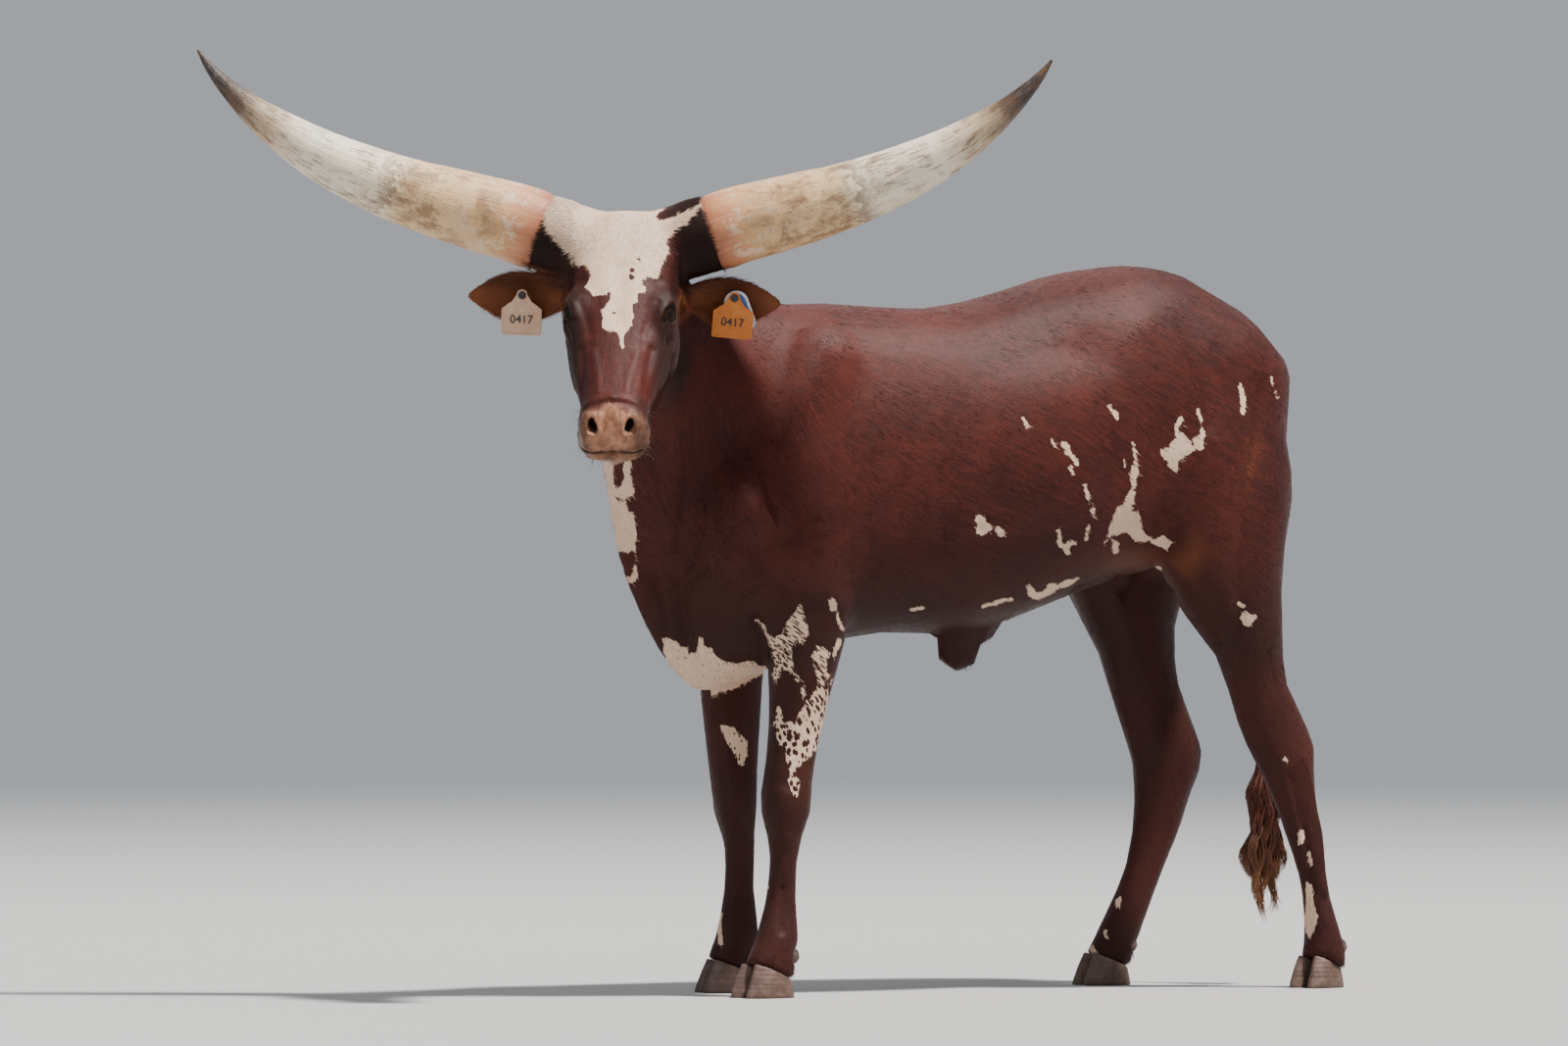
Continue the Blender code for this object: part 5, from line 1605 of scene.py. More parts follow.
class Tufting(Graph):
    """The Geometry Nodes tree that sows tufts over a skin along its lie."""

    inputs = (
        ("Geometry", "NodeSocketGeometry"), ("Tuft", "NodeSocketObject"), ("Density", "NodeSocketFloat"),
        ("Seed", "NodeSocketInt"), ("Length", "NodeSocketFloat"), ("Width", "NodeSocketFloat"),
        ("Lift", "NodeSocketFloat"), ("Stray", "NodeSocketFloat"), ("Finish", "NodeSocketMaterial"),
    )

    def __init__(self) -> None:
        """Build the tree once."""
        tree = bpy.data.node_groups.new("tufting", "GeometryNodeTree")
        super().__init__(tree)
        for name, kind in self.inputs:
            tree.interface.new_socket(name, in_out="INPUT", socket_type=kind)
        tree.interface.new_socket("Geometry", in_out="OUTPUT", socket_type="NodeSocketGeometry")
        source = tree.nodes.new("NodeGroupInput")
        take = {name: Wire(self, source.outputs[name]) for name, _ in self.inputs}
        fur = self.read("fur", "FLOAT")
        spread = {0: take["Geometry"], "Density": take["Density"] * fur, "Seed": take["Seed"]}
        sown = self.add("GeometryNodeDistributePointsOnFaces", {"distribute_method": "RANDOM"}, spread)
        outward = Wire(self, sown.socket.node.outputs["Normal"])
        stray = self.random((-1, -1, -1), (1, 1, 1), take["Seed"])
        rise = self.vector("SCALE", self.vector("PROJECT", stray, outward), scale=0.85)
        stray = self.vector("SCALE", self.vector("SUBTRACT", stray, rise), scale=take["Stray"])
        raised = self.vector("SCALE", outward, scale=take["Lift"])
        way = self.vector("ADD", self.vector("ADD", self.read("lie", "FLOAT_VECTOR"), raised), stray)
        first = self.add("FunctionNodeAlignRotationToVector", {"axis": "Z"}, {"Vector": way})
        turn = {"Rotation": first, "Vector": outward}
        second = self.add("FunctionNodeAlignRotationToVector", {"axis": "X", "pivot_axis": "Z"}, turn)
        varied = self.number(0.65, 1.25, take["Seed"] + 31)
        long = take["Length"] * self.read("long", "FLOAT") * varied
        wide = take["Width"] * self.number(0.7, 1.3, take["Seed"] + 57)
        size = self.add("ShaderNodeCombineXYZ", {}, {0: wide, 1: wide, 2: long})
        place = self.add("GeometryNodeInputPosition", {}, {})
        kept = self.keep(sown, "root", "FLOAT_VECTOR", place)
        kept = self.keep(kept, "root_normal", "FLOAT_VECTOR", outward)
        blade = self.add("GeometryNodeObjectInfo", {}, {"Object": take["Tuft"]}, "Geometry")
        grown = {"Points": kept, "Instance": blade, "Rotation": second, "Scale": size}
        whole = self.add("GeometryNodeInstanceOnPoints", {}, grown)
        whole = self.add("GeometryNodeRealizeInstances", {}, {"Geometry": whole})
        whole = self.add("GeometryNodeSetMaterial", {}, {"Geometry": whole, "Material": take["Finish"]})
        self.add("NodeGroupOutput", {}, {"Geometry": whole})

    def read(self, name: str, kind: str) -> Wire:
        """Return a named attribute."""
        return self.add("GeometryNodeInputNamedAttribute", {"data_type": kind}, {"Name": name}, "Attribute")

    def keep(self, geometry: Wire, name: str, kind: str, value: Wire) -> Wire:
        """Return the geometry with a value kept on its points."""
        inputs = {"Geometry": geometry, "Name": name, "Value": value}
        return self.add("GeometryNodeStoreNamedAttribute", {"data_type": kind, "domain": "POINT"}, inputs)

    def vector(self, operation: str, first: Wire, second: object = None, scale: object = None) -> Wire:
        """Return the result of one Vector Math node.

        Args:
            operation: the node's operation.
            first: its first vector.
            second: its second vector, if it takes one.
            scale: its scale, if it takes one.

        Returns:
            The resulting vector.
        """
        inputs = {0: first}
        if second is not None:
            inputs[1] = second
        if scale is not None:
            inputs["Scale"] = scale
        return self.add("ShaderNodeVectorMath", {"operation": operation}, inputs)

    def random(self, low: tuple, high: tuple, seed: Wire) -> Wire:
        """Return a random vector."""
        return self.add("FunctionNodeRandomValue", {"data_type": "FLOAT_VECTOR"}, {0: low, 1: high, 8: seed})

    def number(self, low: float, high: float, seed: Wire) -> Wire:
        """Return a random number."""
        return self.add("FunctionNodeRandomValue", {"data_type": "FLOAT"}, {2: low, 3: high, 8: seed}, 1)


@dataclass
class Fur:
    """All pieces of the coat, sown over the finished skin."""

    skin: Thing
    limit: int = 19500  # tufts of one piece
    flat: float = 0.78  # how much of a tuft's normal is the skin's
    grid: int = 5  # cells along one side of the baking map
    patch: float = 0.003  # size of a tuft on that map
    box: tuple = ((-0.45, -1.1, 0.0), (0.45, 1.1, 1.75))  # the room that the map unfolds

    def build(self, finish: Material) -> list:
        """Return the pieces.

        Args:
            finish: the coat's material.

        Returns:
            The coat's objects.
        """
        tree = Tufting().tree
        blade = put("tuft_blade", self.blade())
        points, outward = coords(self.skin.data), normals(self.skin.data)
        lie = GROWTH.lie(points, outward)
        made = []
        for coat in Coat:
            bed = put("bed", self.skin.data.copy())
            cover, long = coat.cover(points, outward)
            store(bed.data, "fur", cover * self.thinned(bed.data, cover, coat.value[0]))
            store(bed.data, "long", long)
            store(bed.data, "lie", lie)
            made.append(self.sown(coat, bed, blade, tree, finish))
        bpy.data.objects.remove(blade)
        return made

    def thinned(self, mesh: Mesh, cover: Points, density: float) -> float:
        """Return how far a piece's density has to drop to keep its count.

        Args:
            mesh: the skin.
            cover: where the piece grows, for each vertex.
            density: its tufts per square metre.

        Returns:
            A factor of at most 1.
        """
        areas = np.array([face.area for face in mesh.polygons])
        corners = np.empty(len(mesh.loops), np.int32)
        mesh.loops.foreach_get("vertex_index", corners)
        mean = cover[corners.reshape(-1, 3)].mean(axis=1)
        count = float((areas * mean).sum()) * density
        LOG.info("%.0f tufts wanted", count)
        return min(1, self.limit / max(count, 1))

    @staticmethod
    def blade() -> Mesh:
        """Return one tuft: a flat three-sided blade that bends over, one unit long.

        Returns:
            The mesh that every tuft copies.
        """
        thin, wide = 0.35, 1.3
        points = []
        for height, size, lean in ((0, 0.5, -0.05), (0.45, 0.44, 0.16), (1, 0, -0.35)):
            for turn in (0, 120, 240)[:3 if size else 1]:
                angle = radians(turn)
                points.append((lean + size * thin * cos(angle), size * wide * sin(angle), height))
        faces = [(0, 1, 4, 3), (1, 2, 5, 4), (2, 0, 3, 5), (3, 4, 6), (4, 5, 6), (5, 3, 6), (2, 1, 0)]
        return plain("blade", points, faces)

    def sown(
        self, coat: Coat, bed: Thing, blade: Thing,
        tree: bpy.types.NodeTree, finish: Material,
    ) -> Thing:
        """Return one piece of the coat as a plain mesh.

        Args:
            coat: the piece.
            bed: the copy of the skin that it grows on.
            blade: the single tuft.
            tree: the tree that sows.
            finish: the material.

        Returns:
            The piece, with its root tones and its baking map.
        """
        density, long, wide, lift, stray, seed = coat.value
        step = bed.modifiers.new("tufting", "NODES")
        step.node_group = tree
        values = {
            "Tuft": blade, "Density": density, "Seed": seed, "Length": long, "Width": wide,
            "Lift": lift, "Stray": stray, "Finish": finish,
        }
        for socket in tree.interface.items_tree:
            if socket.in_out == "INPUT" and socket.name in values:
                step[socket.identifier] = values[socket.name]
        applied(bed)
        bed.name = "coat_" + coat.name.lower()
        mesh = bed.data
        roots, outward = self.first(mesh, "root"), self.first(mesh, "root_normal")
        for name, tone in TONES.all(roots).items():
            store(mesh, name, np.repeat(tone, TUFT, axis=0))
        self.map(mesh, roots, outward)
        smoothly(bed)
        shaded = unit(normals(mesh) * (1 - self.flat) + np.repeat(outward, TUFT, axis=0) * self.flat)
        mesh.normals_split_custom_set_from_vertices(shaded.tolist())
        for name in ("root", "root_normal", "fur", "long", "lie"):
            if name in mesh.attributes:
                mesh.attributes.remove(mesh.attributes[name])
        return bed

    @staticmethod
    def first(mesh: Mesh, name: str) -> Points:
        """Return a kept vector once for each tuft."""
        flat = np.empty(len(mesh.vertices) * 3, np.float32)
        mesh.attributes[name].data.foreach_get("vector", flat)
        return flat.reshape(-1, TUFT, 3)[:, 0].astype(float)

    def map(self, mesh: Mesh, roots: Points, outward: Points) -> None:
        """Write the baking map: each tuft is a small patch at its root's place on the unfolded skin.

        Args:
            mesh: the piece's mesh.
            roots: where its tufts stand.
            outward: the skin's normals there.
        """
        part = 1 / self.grid
        layer = np.where(head_part(roots) > 0, 2, (roots[:, 0] > SPINE).astype(int))
        axis = np.argmax(np.abs(outward), axis=1)
        cell = layer * 6 + axis * 2 + (outward[np.arange(len(roots)), axis] > 0)
        low, high = np.array(self.box)
        spot = (roots - low) / (high - low).max()
        flat = np.stack([
            np.choose(axis, [spot[:, 1], spot[:, 0], spot[:, 0]]),
            np.choose(axis, [spot[:, 2], spot[:, 2], spot[:, 1]]),
        ], axis=1)
        corner = np.stack([cell % self.grid, cell // self.grid], axis=1) * part
        base = corner + (0.01 + 0.97 * flat) * part
        index = np.empty(len(mesh.loops), np.int32)
        mesh.loops.foreach_get("vertex_index", index)
        shape = np.array(((0, 0), (1, 0), (0.5, 0), (0, 0.5), (1, 0.5), (0.5, 0.5), (0.5, 1)))
        uvs = base[index // TUFT] + shape[index % TUFT] * self.patch
        mesh.uv_layers.new(name="OFBake").data.foreach_set("uv", uvs.astype(np.float32).ravel())


@dataclass(frozen=True)
class Bristles:
    """Lashes along the upper lids, and whiskers on lips and chin."""

    seed: int = 23
    lash: float = 0.00042
    whisker: float = 0.00024
    whisker_count: int = 230

    def build(self, skin: Thing) -> Thing:
        """Return lashes and whiskers as one piece.

        Args:
            skin: the finished skin.

        Returns:
            The object.
        """
        random = np.random.default_rng(self.seed)
        hairs = []
        for root, way, droop, long, size in self.lashes(random) + self.whiskers(skin, random):
            side = way.cross(droop).normalized()
            rings = []
            for t in (0, 0.2, 0.4, 0.6, 0.8, 1):
                centre = root + way * (long * t) + droop * (long * 0.5 * t * t)
                here = size * (1 - 0.85 * t)
                rings.append(oval(centre, side, side.cross(way).normalized(), here, here, 3))
            hairs.append(rings)
        return smoothly(put("lashes_whiskers", hair_mesh("bristles", hairs)))

    def lashes(self, random: np.random.Generator) -> list:
        """Return roots and ways of the lashes.

        Args:
            random: the source of random numbers.

        Returns:
            A root and a way for each lash.
        """
        made = []
        for eye in EYES:
            frame_here = eye.frame()
            turn = frame_here.to_3x3()
            rim = eye.rim(0.004, 0.0028, 120)
            up = 1 if (turn @ Vector((0, 1, 0))).z > 0 else -1
            for spot in rim:
                part = abs(spot.y) / eye.tall
                if spot.y * up <= 0 or part < 0.25:
                    continue
                for _ in range(3):
                    stray = Vector(random.normal(0, 0.16, 3))
                    way = turn @ (Vector((spot.x * 16, up * 0.35, 0.9)) + stray).normalized()
                    root = frame_here @ (spot + Vector(random.normal(0, 0.0004, 3)))
                    long = (0.0095 + 0.007 * part) * (0.8 + 0.4 * random.random())
                    made.append((root, way, Vector((0, 0, -0.45)), long, self.lash))
        return made

    def whiskers(self, skin: Thing, random: np.random.Generator) -> list:
        """Return roots and ways of the whiskers.

        Args:
            skin: the surface that they stand on.
            random: the source of random numbers.

        Returns:
            A root and a way for each whisker.
        """
        tree = BVHTree.FromObject(skin, bpy.context.evaluated_depsgraph_get())
        face = POSE.face()
        made = []
        for _ in range(self.whisker_count):
            along = 0.4 + 0.085 * random.random()
            aside = random.choice((-1, 1)) * (0.02 + 0.045 * random.random())
            out = -0.04 - 0.09 * random.random()
            spot, outward, _, _ = tree.find_nearest(face @ Vector((along, aside, out)))
            way = (outward + Vector(random.normal(0, 0.35, 3)) + Vector((0, 0, -0.25))).normalized()
            chin = 1 if out < -0.095 else 0
            long = (0.008 + 0.01 * random.random()) * (1 + 0.5 * chin)
            size = self.whisker + 0.0001 * chin
            made.append((spot - outward * 0.001, way, Vector((0, 0, -0.5)), long, size))
        return made


# Finishes
@dataclass(frozen=True)
class BristleFinish:
    """Dark springy hair."""

    deep: tuple = (0.012, 0.006, 0.004)
    light: tuple = (0.11, 0.05, 0.025)

    def make(self) -> Material:
        """Return the material.

        Returns:
            The material, with all its nodes.
        """
        paint = Paint("bristle_dark")
        grain = paint.grain(paint.place(), 90).step(0.4, 0.6)
        tone = paint.blend(grain, self.deep, self.light)
        return paint.finish({"Base Color": tone, "Roughness": 0.5})


@dataclass(frozen=True)
class CoatFinish:
    """Short glossy chestnut hair with cream markings, and the bare muzzle."""

    name: str
    tuft: bool = False
    chestnut: tuple = (0.084, 0.0142, 0.0092)
    deep: tuple = (0.025, 0.0044, 0.003)
    # black-brown of cuffs, face and legs, also painted shade under the belly and at the muzzle
    black: tuple = (0.018, 0.0058, 0.004)
    # redder colour of eyelids and ears, also painted light on the seen flank, groin and hocks
    warm: tuple = (0.2, 0.058, 0.021)
    cream: tuple = (0.73, 0.525, 0.395)
    cream_deep: tuple = (0.5, 0.34, 0.23)
    tan: tuple = (0.47, 0.225, 0.132)
    tan_deep: tuple = (0.21, 0.085, 0.046)
    # painted shade for the grooves between the muzzle's pebbles
    groove_shade: tuple = (0.06, 0.025, 0.016)
    # dark lip colour, also painted shade in the nostrils, the mouth's crease and on the muzzle's sides and
    # bottom
    lip_and_shade: tuple = (0.014, 0.006, 0.0045)

    def make(self) -> Material:
        """Return the material.

        Returns:
            The material, with all its nodes.
        """
        paint = Paint(self.name)
        place, comb = paint.place(), paint.vector("comb")
        strands = paint.drawn(comb, 620, 42, 3, 0.6)
        strands = (strands - 0.5) * (0.35 if self.tuft else 1) + 0.5
        locks = paint.drawn(comb, 120, 16, 4, 0.55, 0.6)
        broad = paint.grain(place, 3, 4, 0.55)
        tone = ((broad - 0.5) * 1.5 + (locks - 0.5) * 0.9 + (strands - 0.5) + 0.5).step(0.05, 0.95)
        brown = paint.blend(tone, self.deep, self.chestnut)
        # redder tone: the eyelids' and ears' own, and painted light in spots on the seen flank, groin and
        # hocks
        warm = (paint.mark("warm") * (strands * 0.8 + 0.55)).step(0, 1)
        brown = paint.blend(warm, brown, self.warm)
        # the dark tone over the hair: black-brown cuffs, darker face, legs and lips, and painted shade under
        # the belly, at the mouth, nostrils and muzzle's sides
        dark = (paint.mark("dark") + (locks - 0.5) * 0.5).step(0.05, 1)
        brown = paint.blend(dark, brown, self.black)
        ragged = paint.drawn(comb, 260, 60, 4, 0.65)
        wavy = paint.grain(place, 62, 3, 0.6)
        edge = paint.mark("cream") + (ragged - 0.5) * 0.012 + (wavy - 0.5) * 0.014
        cell = paint.cells(paint.scaled(comb, (135, 135, 80)), 1)
        fleck = (paint.mark("speckle") * 0.46 - cell + (ragged - 0.5) * 0.35).step(-0.04, 0.04)
        shade = paint.blend(strands.step(0.25, 0.75), self.cream_deep, self.cream)
        tinted = paint.blend(edge.step(-0.0007, 0.0007) * (1 - fleck), brown, shade)
        inputs = {"Roughness": 0.56, "Specular IOR Level": 0.17, "Sheen Weight": 0.04, "Sheen Roughness": 0.4}
        inputs["Sheen Tint"] = (0.95, 0.8, 0.82, 1)
        hair = strands * 0.6 + locks * 0.4
        if self.tuft:
            inputs["Base Color"] = tinted
            inputs["Normal"] = paint.bump(strands, 0.25, 0.001)
            return paint.finish(inputs)
        bare = (paint.mark("nose") + (ragged - 0.5) * 0.012).step(-0.008, 0.018)
        pebble = paint.cells(place, 420, "DISTANCE_TO_EDGE")
        moist = paint.grain(place, 60, 4, 0.6)
        skin = paint.blend(moist.step(0.3, 0.7), self.tan_deep, self.tan)
        # painted shade in the grooves between the muzzle's pebbles
        skin = paint.blend(pebble.drop(0, 0.1) * 0.45, skin, self.groove_shade)
        # darker lips and painted shade in the nostrils, the mouth's crease and on the muzzle's sides and
        # bottom
        skin = paint.blend(paint.mark("dark").step(0, 1), skin, self.lip_and_shade)
        inputs["Base Color"] = paint.blend(bare, tinted, skin)
        inputs["Roughness"] = 0.62 - bare * 0.32 - hair * 0.12
        relief = paint.bump(hair, 0.55, 0.0016)
        relief = paint.bump(paint.grain(place, 22, 4, 0.55), 0.28, 0.006, relief)
        inputs["Normal"] = paint.bump(bare * pebble.step(0, 0.25), 0.25, 0.001, relief)
        return paint.finish(inputs)


@dataclass(frozen=True)
class HornFinish:
    """Fibrous horn, pinkish at the root, ivory along the beam and black-brown at the tip."""

    stops: tuple = (
        (0, (0.3, 0.095, 0.042)), (0.04, (0.45, 0.175, 0.08)), (0.085, (0.58, 0.29, 0.13)),
        (0.13, (0.63, 0.38, 0.18)), (0.35, (0.69, 0.47, 0.25)), (0.41, (0.8, 0.68, 0.5)),
        (0.62, (0.78, 0.67, 0.52)), (0.74, (0.48, 0.35, 0.22)), (0.82, (0.1, 0.06, 0.036)),
        (0.88, (0.024, 0.016, 0.012)), (1, (0.013, 0.009, 0.008)),
    )
    scurf: tuple = (0.76, 0.6, 0.43)
    stain: tuple = (0.235, 0.12, 0.05)
    worn: tuple = (0.12, 0.05, 0.02)
    ash: tuple = (0.19, 0.15, 0.115)

    def make(self) -> Material:
        """Return the material.

        Returns:
            The material, with all its nodes.
        """
        paint = Paint("horn_sheath_fine")
        grain, place = paint.vector("grain"), paint.place()
        fibre = paint.drawn(grain, 430, 15, 4, 0.65, 0.3)
        streak = paint.drawn(grain, 90, 6, 5, 0.6, 0.5)
        blotch = paint.grain(place, 17, 5, 0.65, 0.4)
        long = paint.mark("reach")
        reach = long + (streak - 0.5) * 0.1 + (blotch - 0.5) * 0.08
        tone = paint.add("ShaderNodeValToRGB", {"stops": self.stops}, {0: reach})
        flake = paint.drawn(grain, 60, 38, 6, 0.7, 0.8)
        scurf = (flake - 0.55 - (blotch - 0.5) * 0.8).step(0, 0.03)
        scurf = scurf * long.step(0.03, 0.07) * long.drop(0.14, 0.26)
        tone = paint.blend(scurf * 0.45, tone, self.scurf)
        mottle = (blotch * 0.5 + flake * 0.3 + streak * 0.2).step(0.45, 0.58)
        mottle = mottle * long.step(0.06, 0.16) * long.drop(0.36, 0.52)
        tone = paint.blend(mottle * 0.72, tone, self.stain)
        bend = {0: paint.wander(grain, 40), 1: (0.02, 0.02, 0.03), 2: grain}
        bent = paint.add("ShaderNodeVectorMath", {"operation": "MULTIPLY_ADD"}, bend)
        web = paint.cells(paint.scaled(bent, (120, 120, 70)), 1, "DISTANCE_TO_EDGE")
        crack = (web + (fibre - 0.5) * 0.1).drop(0, 0.1) * (flake - 0.44).step(0, 0.14)
        crack = crack * long.step(0.1, 0.2) * (1 - 0.6 * long.step(0.4, 0.46))
        fleck = paint.drawn(grain, 210, 17, 4, 0.7)
        mark = (fleck * 0.6 + blotch * 0.4).step(0.49, 0.62)
        mark = mark * (0.35 + 0.65 * long.step(0.26, 0.44)) * long.step(0.05, 0.12)
        rim = long + (flake - 0.5) * 0.1 + (blotch - 0.5) * 0.16
        rim = rim.step(0.385, 0.397) * rim.drop(0.397, 0.425)
        worn = (crack * 0.5).top(mark * 0.76).top(rim * 0.6)
        tone = paint.blend(worn, tone, self.worn)
        ashy = (fibre - 0.52).step(0, 0.15) * long.step(0.8, 0.9)
        tone = paint.blend(ashy * 0.35, tone, self.ash)
        relief = paint.bump(fibre, 0.55, 0.0014)
        relief = paint.bump(1 - worn + scurf * 0.6, 0.6, 0.0012, relief)
        inputs = {"Base Color": tone, "Roughness": 0.36 + fibre * 0.24, "Specular IOR Level": 0.45}
        return paint.finish(inputs | {"Normal": relief})


@dataclass(frozen=True)
class HoofFinish:
    """Ringed grey-brown hoof horn, dusty at the toe, with painted shade at the top where it goes under the
    hair.
    """

    deep: tuple = (0.05, 0.026, 0.019)
    light: tuple = (0.12, 0.066, 0.048)
    dust: tuple = (0.19, 0.12, 0.088)
    # painted shade where the hoof's top goes under the hair; it also darkens the dewclaws above
    coronet: tuple = (0.034, 0.017, 0.012)

    def make(self) -> Material:
        """Return the material.

        Returns:
            The material, with all its nodes.
        """
        paint = Paint("hoof_horn_fine")
        place = paint.place()
        rings = paint.drawn(place, 10, 120, 3, 0.5)
        fibre = paint.drawn(place, 300, 9, 3, 0.6)
        blotch = paint.grain(place, 38, 4, 0.6)
        mixed = (rings * 0.35 + fibre * 0.25 + blotch * 0.4).step(0.3, 0.7)
        tone = paint.blend(mixed, self.deep, self.light)
        tone = paint.blend(blotch.step(0.45, 0.75) * 0.5, tone, self.dust)
        # painted shade at the top under the hair, also over the dewclaws
        tone = paint.blend(paint.mark("high").step(0, 1), tone, self.coronet)
        relief = paint.bump(rings * 0.6 + fibre * 0.4, 0.3, 0.0012)
        rough = 0.46 + blotch * 0.2 + paint.mark("high") * 0.2
        return paint.finish({"Base Color": tone, "Roughness": rough, "Normal": relief})


@dataclass(frozen=True)
class EyeFinish:
    """A wet dark eye with a level oval pupil."""

    def make(self) -> Material:
        """Return the material.

        Returns:
            The material, with all its nodes.
        """
        paint = Paint("eye_dark_fine")
        gaze, polar = paint.vector("gaze"), paint.mark("polar")
        spokes = paint.drawn(gaze, 22, 3, 4, 0.6)
        iris = paint.blend(spokes.step(0.3, 0.7), (0.0075, 0.0035, 0.0022), (0.026, 0.0105, 0.0055))
        iris = paint.blend(polar.step(0.48, 0.6), iris, (0.01, 0.0055, 0.004))
        white = paint.blend(spokes.step(0.4, 0.7), (0.085, 0.05, 0.04), (0.03, 0.016, 0.012))
        tone = paint.blend((polar + (spokes - 0.5) * 0.04).step(0.66, 0.74), iris, white)
        tone = paint.blend(paint.mark("pupil").drop(0.9, 1.1), tone, (0.0035, 0.004, 0.006))
        return paint.finish({"Base Color": tone, "Roughness": 0.05, "Specular IOR Level": 0.13})


@dataclass(frozen=True)
class PlateFinish:
    """Weathered moulded plastic of an ear tag."""

    name: str
    tone: tuple
    worn: tuple
    dirt: tuple = (0.06, 0.035, 0.022)
    rim: tuple = ()

    def make(self) -> Material:
        """Return the material.

        Returns:
            The material, with all its nodes.
        """
        paint = Paint(self.name)
        place = paint.place()
        broad = paint.grain(place, 45, 4, 0.6)
        scratch = paint.grain(paint.scaled(place, (900, 900, 120), (0.3, 0.5, 0.2)), 1, 2, 0.5)
        tone = paint.blend(broad.step(0.4, 0.75) * 0.7, self.tone, self.worn)
        if self.rim:
            tone = paint.blend(paint.mark("inset").step(0.3, 0.34), self.rim, tone)
        grime = paint.grain(place, 120, 5, 0.7)
        tone = paint.blend(grime.step(0.58, 0.72) * 0.5, tone, self.dirt)
        relief = paint.bump(scratch * 0.5 + grime * 0.5, 0.25, 0.0005)
        return paint.finish({"Base Color": tone, "Roughness": 0.38 + grime * 0.3, "Normal": relief})


# Horns
@dataclass
class Horn:
    """One long horn: a lofted beam with growth rings near the root and a worn step."""

    side: str
    sign: float
    roll: float
    reach: float
    stations: tuple = (
        (153, -37, -48, 70.5), (200, -19, -47, 69), (270, 0, -45, 66.5),
        (370, 29, -40, 61), (455, 60, -34, 55), (540, 99, -28, 46.5),
        (610, 141, -25, 36), (665, 181, -26, 25.5), (708, 220, -30, 16.5),
        (740, 255, -35, 9), (762, 286, -40, 2.6),
    )
    seat: tuple = (0.153, -0.048, -0.037)
    sides: int = 112
    parts: int = 22
    flat: float = 0.97  # width of the section to its height
    ring_gap: float = 0.0105
    ring_height: float = 0.00042
    ringed: float = 0.3  # how far from the root the growth rings reach
    sheath: float = 0.3  # share of the length under the outer sheath
    sheath_height: float = 0.001

    def frame(self) -> Matrix:
        """Return the horn's own frame."""
        seat = Vector((self.seat[0] * self.sign, self.seat[1], self.seat[2]))
        made = POSE.level() @ Matrix.Rotation(self.roll, 4, "Y") @ Matrix.Translation(seat)
        return made @ Matrix.Scale(self.reach, 4) @ Matrix.Translation(-seat)

    def build(self) -> Thing:
        """Return the horn.

        Returns:
            The object.
        """
        rows = spline(self.stations, self.parts)
        frame_here = self.frame()
        centres = [Vector((row[0] * self.sign, row[2], row[1])) for row in rows]
        lengths = np.concatenate([[0.0], np.cumsum([(b - a).length for a, b in zip(centres, centres[1:])])])
        total = lengths[-1]
        rings, grain, reach = [], [], []
        for index, (row, centre) in enumerate(zip(rows, centres)):
            before, after = centres[max(index - 1, 0)], centres[min(index + 1, len(centres) - 1)]
            way = (after - before).normalized()
            across = way.cross(UP).normalized()
            up = across.cross(way)
            ring = []
            for step in range(self.sides):
                angle = tau * step / self.sides
                c, s = cos(angle), sin(angle)
                size = row[3] + self.relief(lengths[index], total, c, s)
                ring.append(frame_here @ (centre + across * (self.flat * size * c) + up * (size * s)))
                grain.append((c * row[3], s * row[3], lengths[index]))
                reach.append(lengths[index] / total)
            rings.append(ring)
        mesh = turned_out(plain("horn_beam", *loft(rings)))
        store(mesh, "grain", np.array(grain))
        store(mesh, "reach", np.array(reach))
        return smoothly(put("horn_beam_" + self.side, mesh))

    def relief(self, length: float, total: float, c: float, s: float) -> float:
        """Return how far the surface stands off its station's radius.

        Args:
            length: metres from the root.
            total: the horn's length.
            c: cosine of the place round the beam.
            s: its sine.

        Returns:
            A height in metres.
        """
        spot = Vector((c * 2.2, s * 2.2, length * 9 + 5 * self.sign))
        broad = noise.noise(spot) * 0.0012
        flute = noise.noise(Vector((c * 9, s * 9, length * 3 + 11))) * 0.0005
        root = max(0, 1 - length / self.ringed)
        wobble = 0.01 * noise.noise(Vector((c, s, length * 5)))
        patch = 0.5 + 0.9 * noise.noise(Vector((c * 1.4, s * 1.4, length * 14 + 3)))
        ring = sin((length + wobble) * 2 * pi / self.ring_gap) * self.ring_height * root * max(patch, 0.1)
        ring -= 0.0035 * exp(-(length / 0.012) ** 2)
        worn = self.sheath * total + 0.012 * noise.noise(Vector((c * 1.6, s * 1.6, 3)))
        step = self.sheath_height / (1 + exp(max(-40, min(40, (length - worn) / 0.0025))))
        thin = min(1, (total - length) / 0.1 + 0.15)
        return (broad + flute + ring + step) * thin - 0.0004


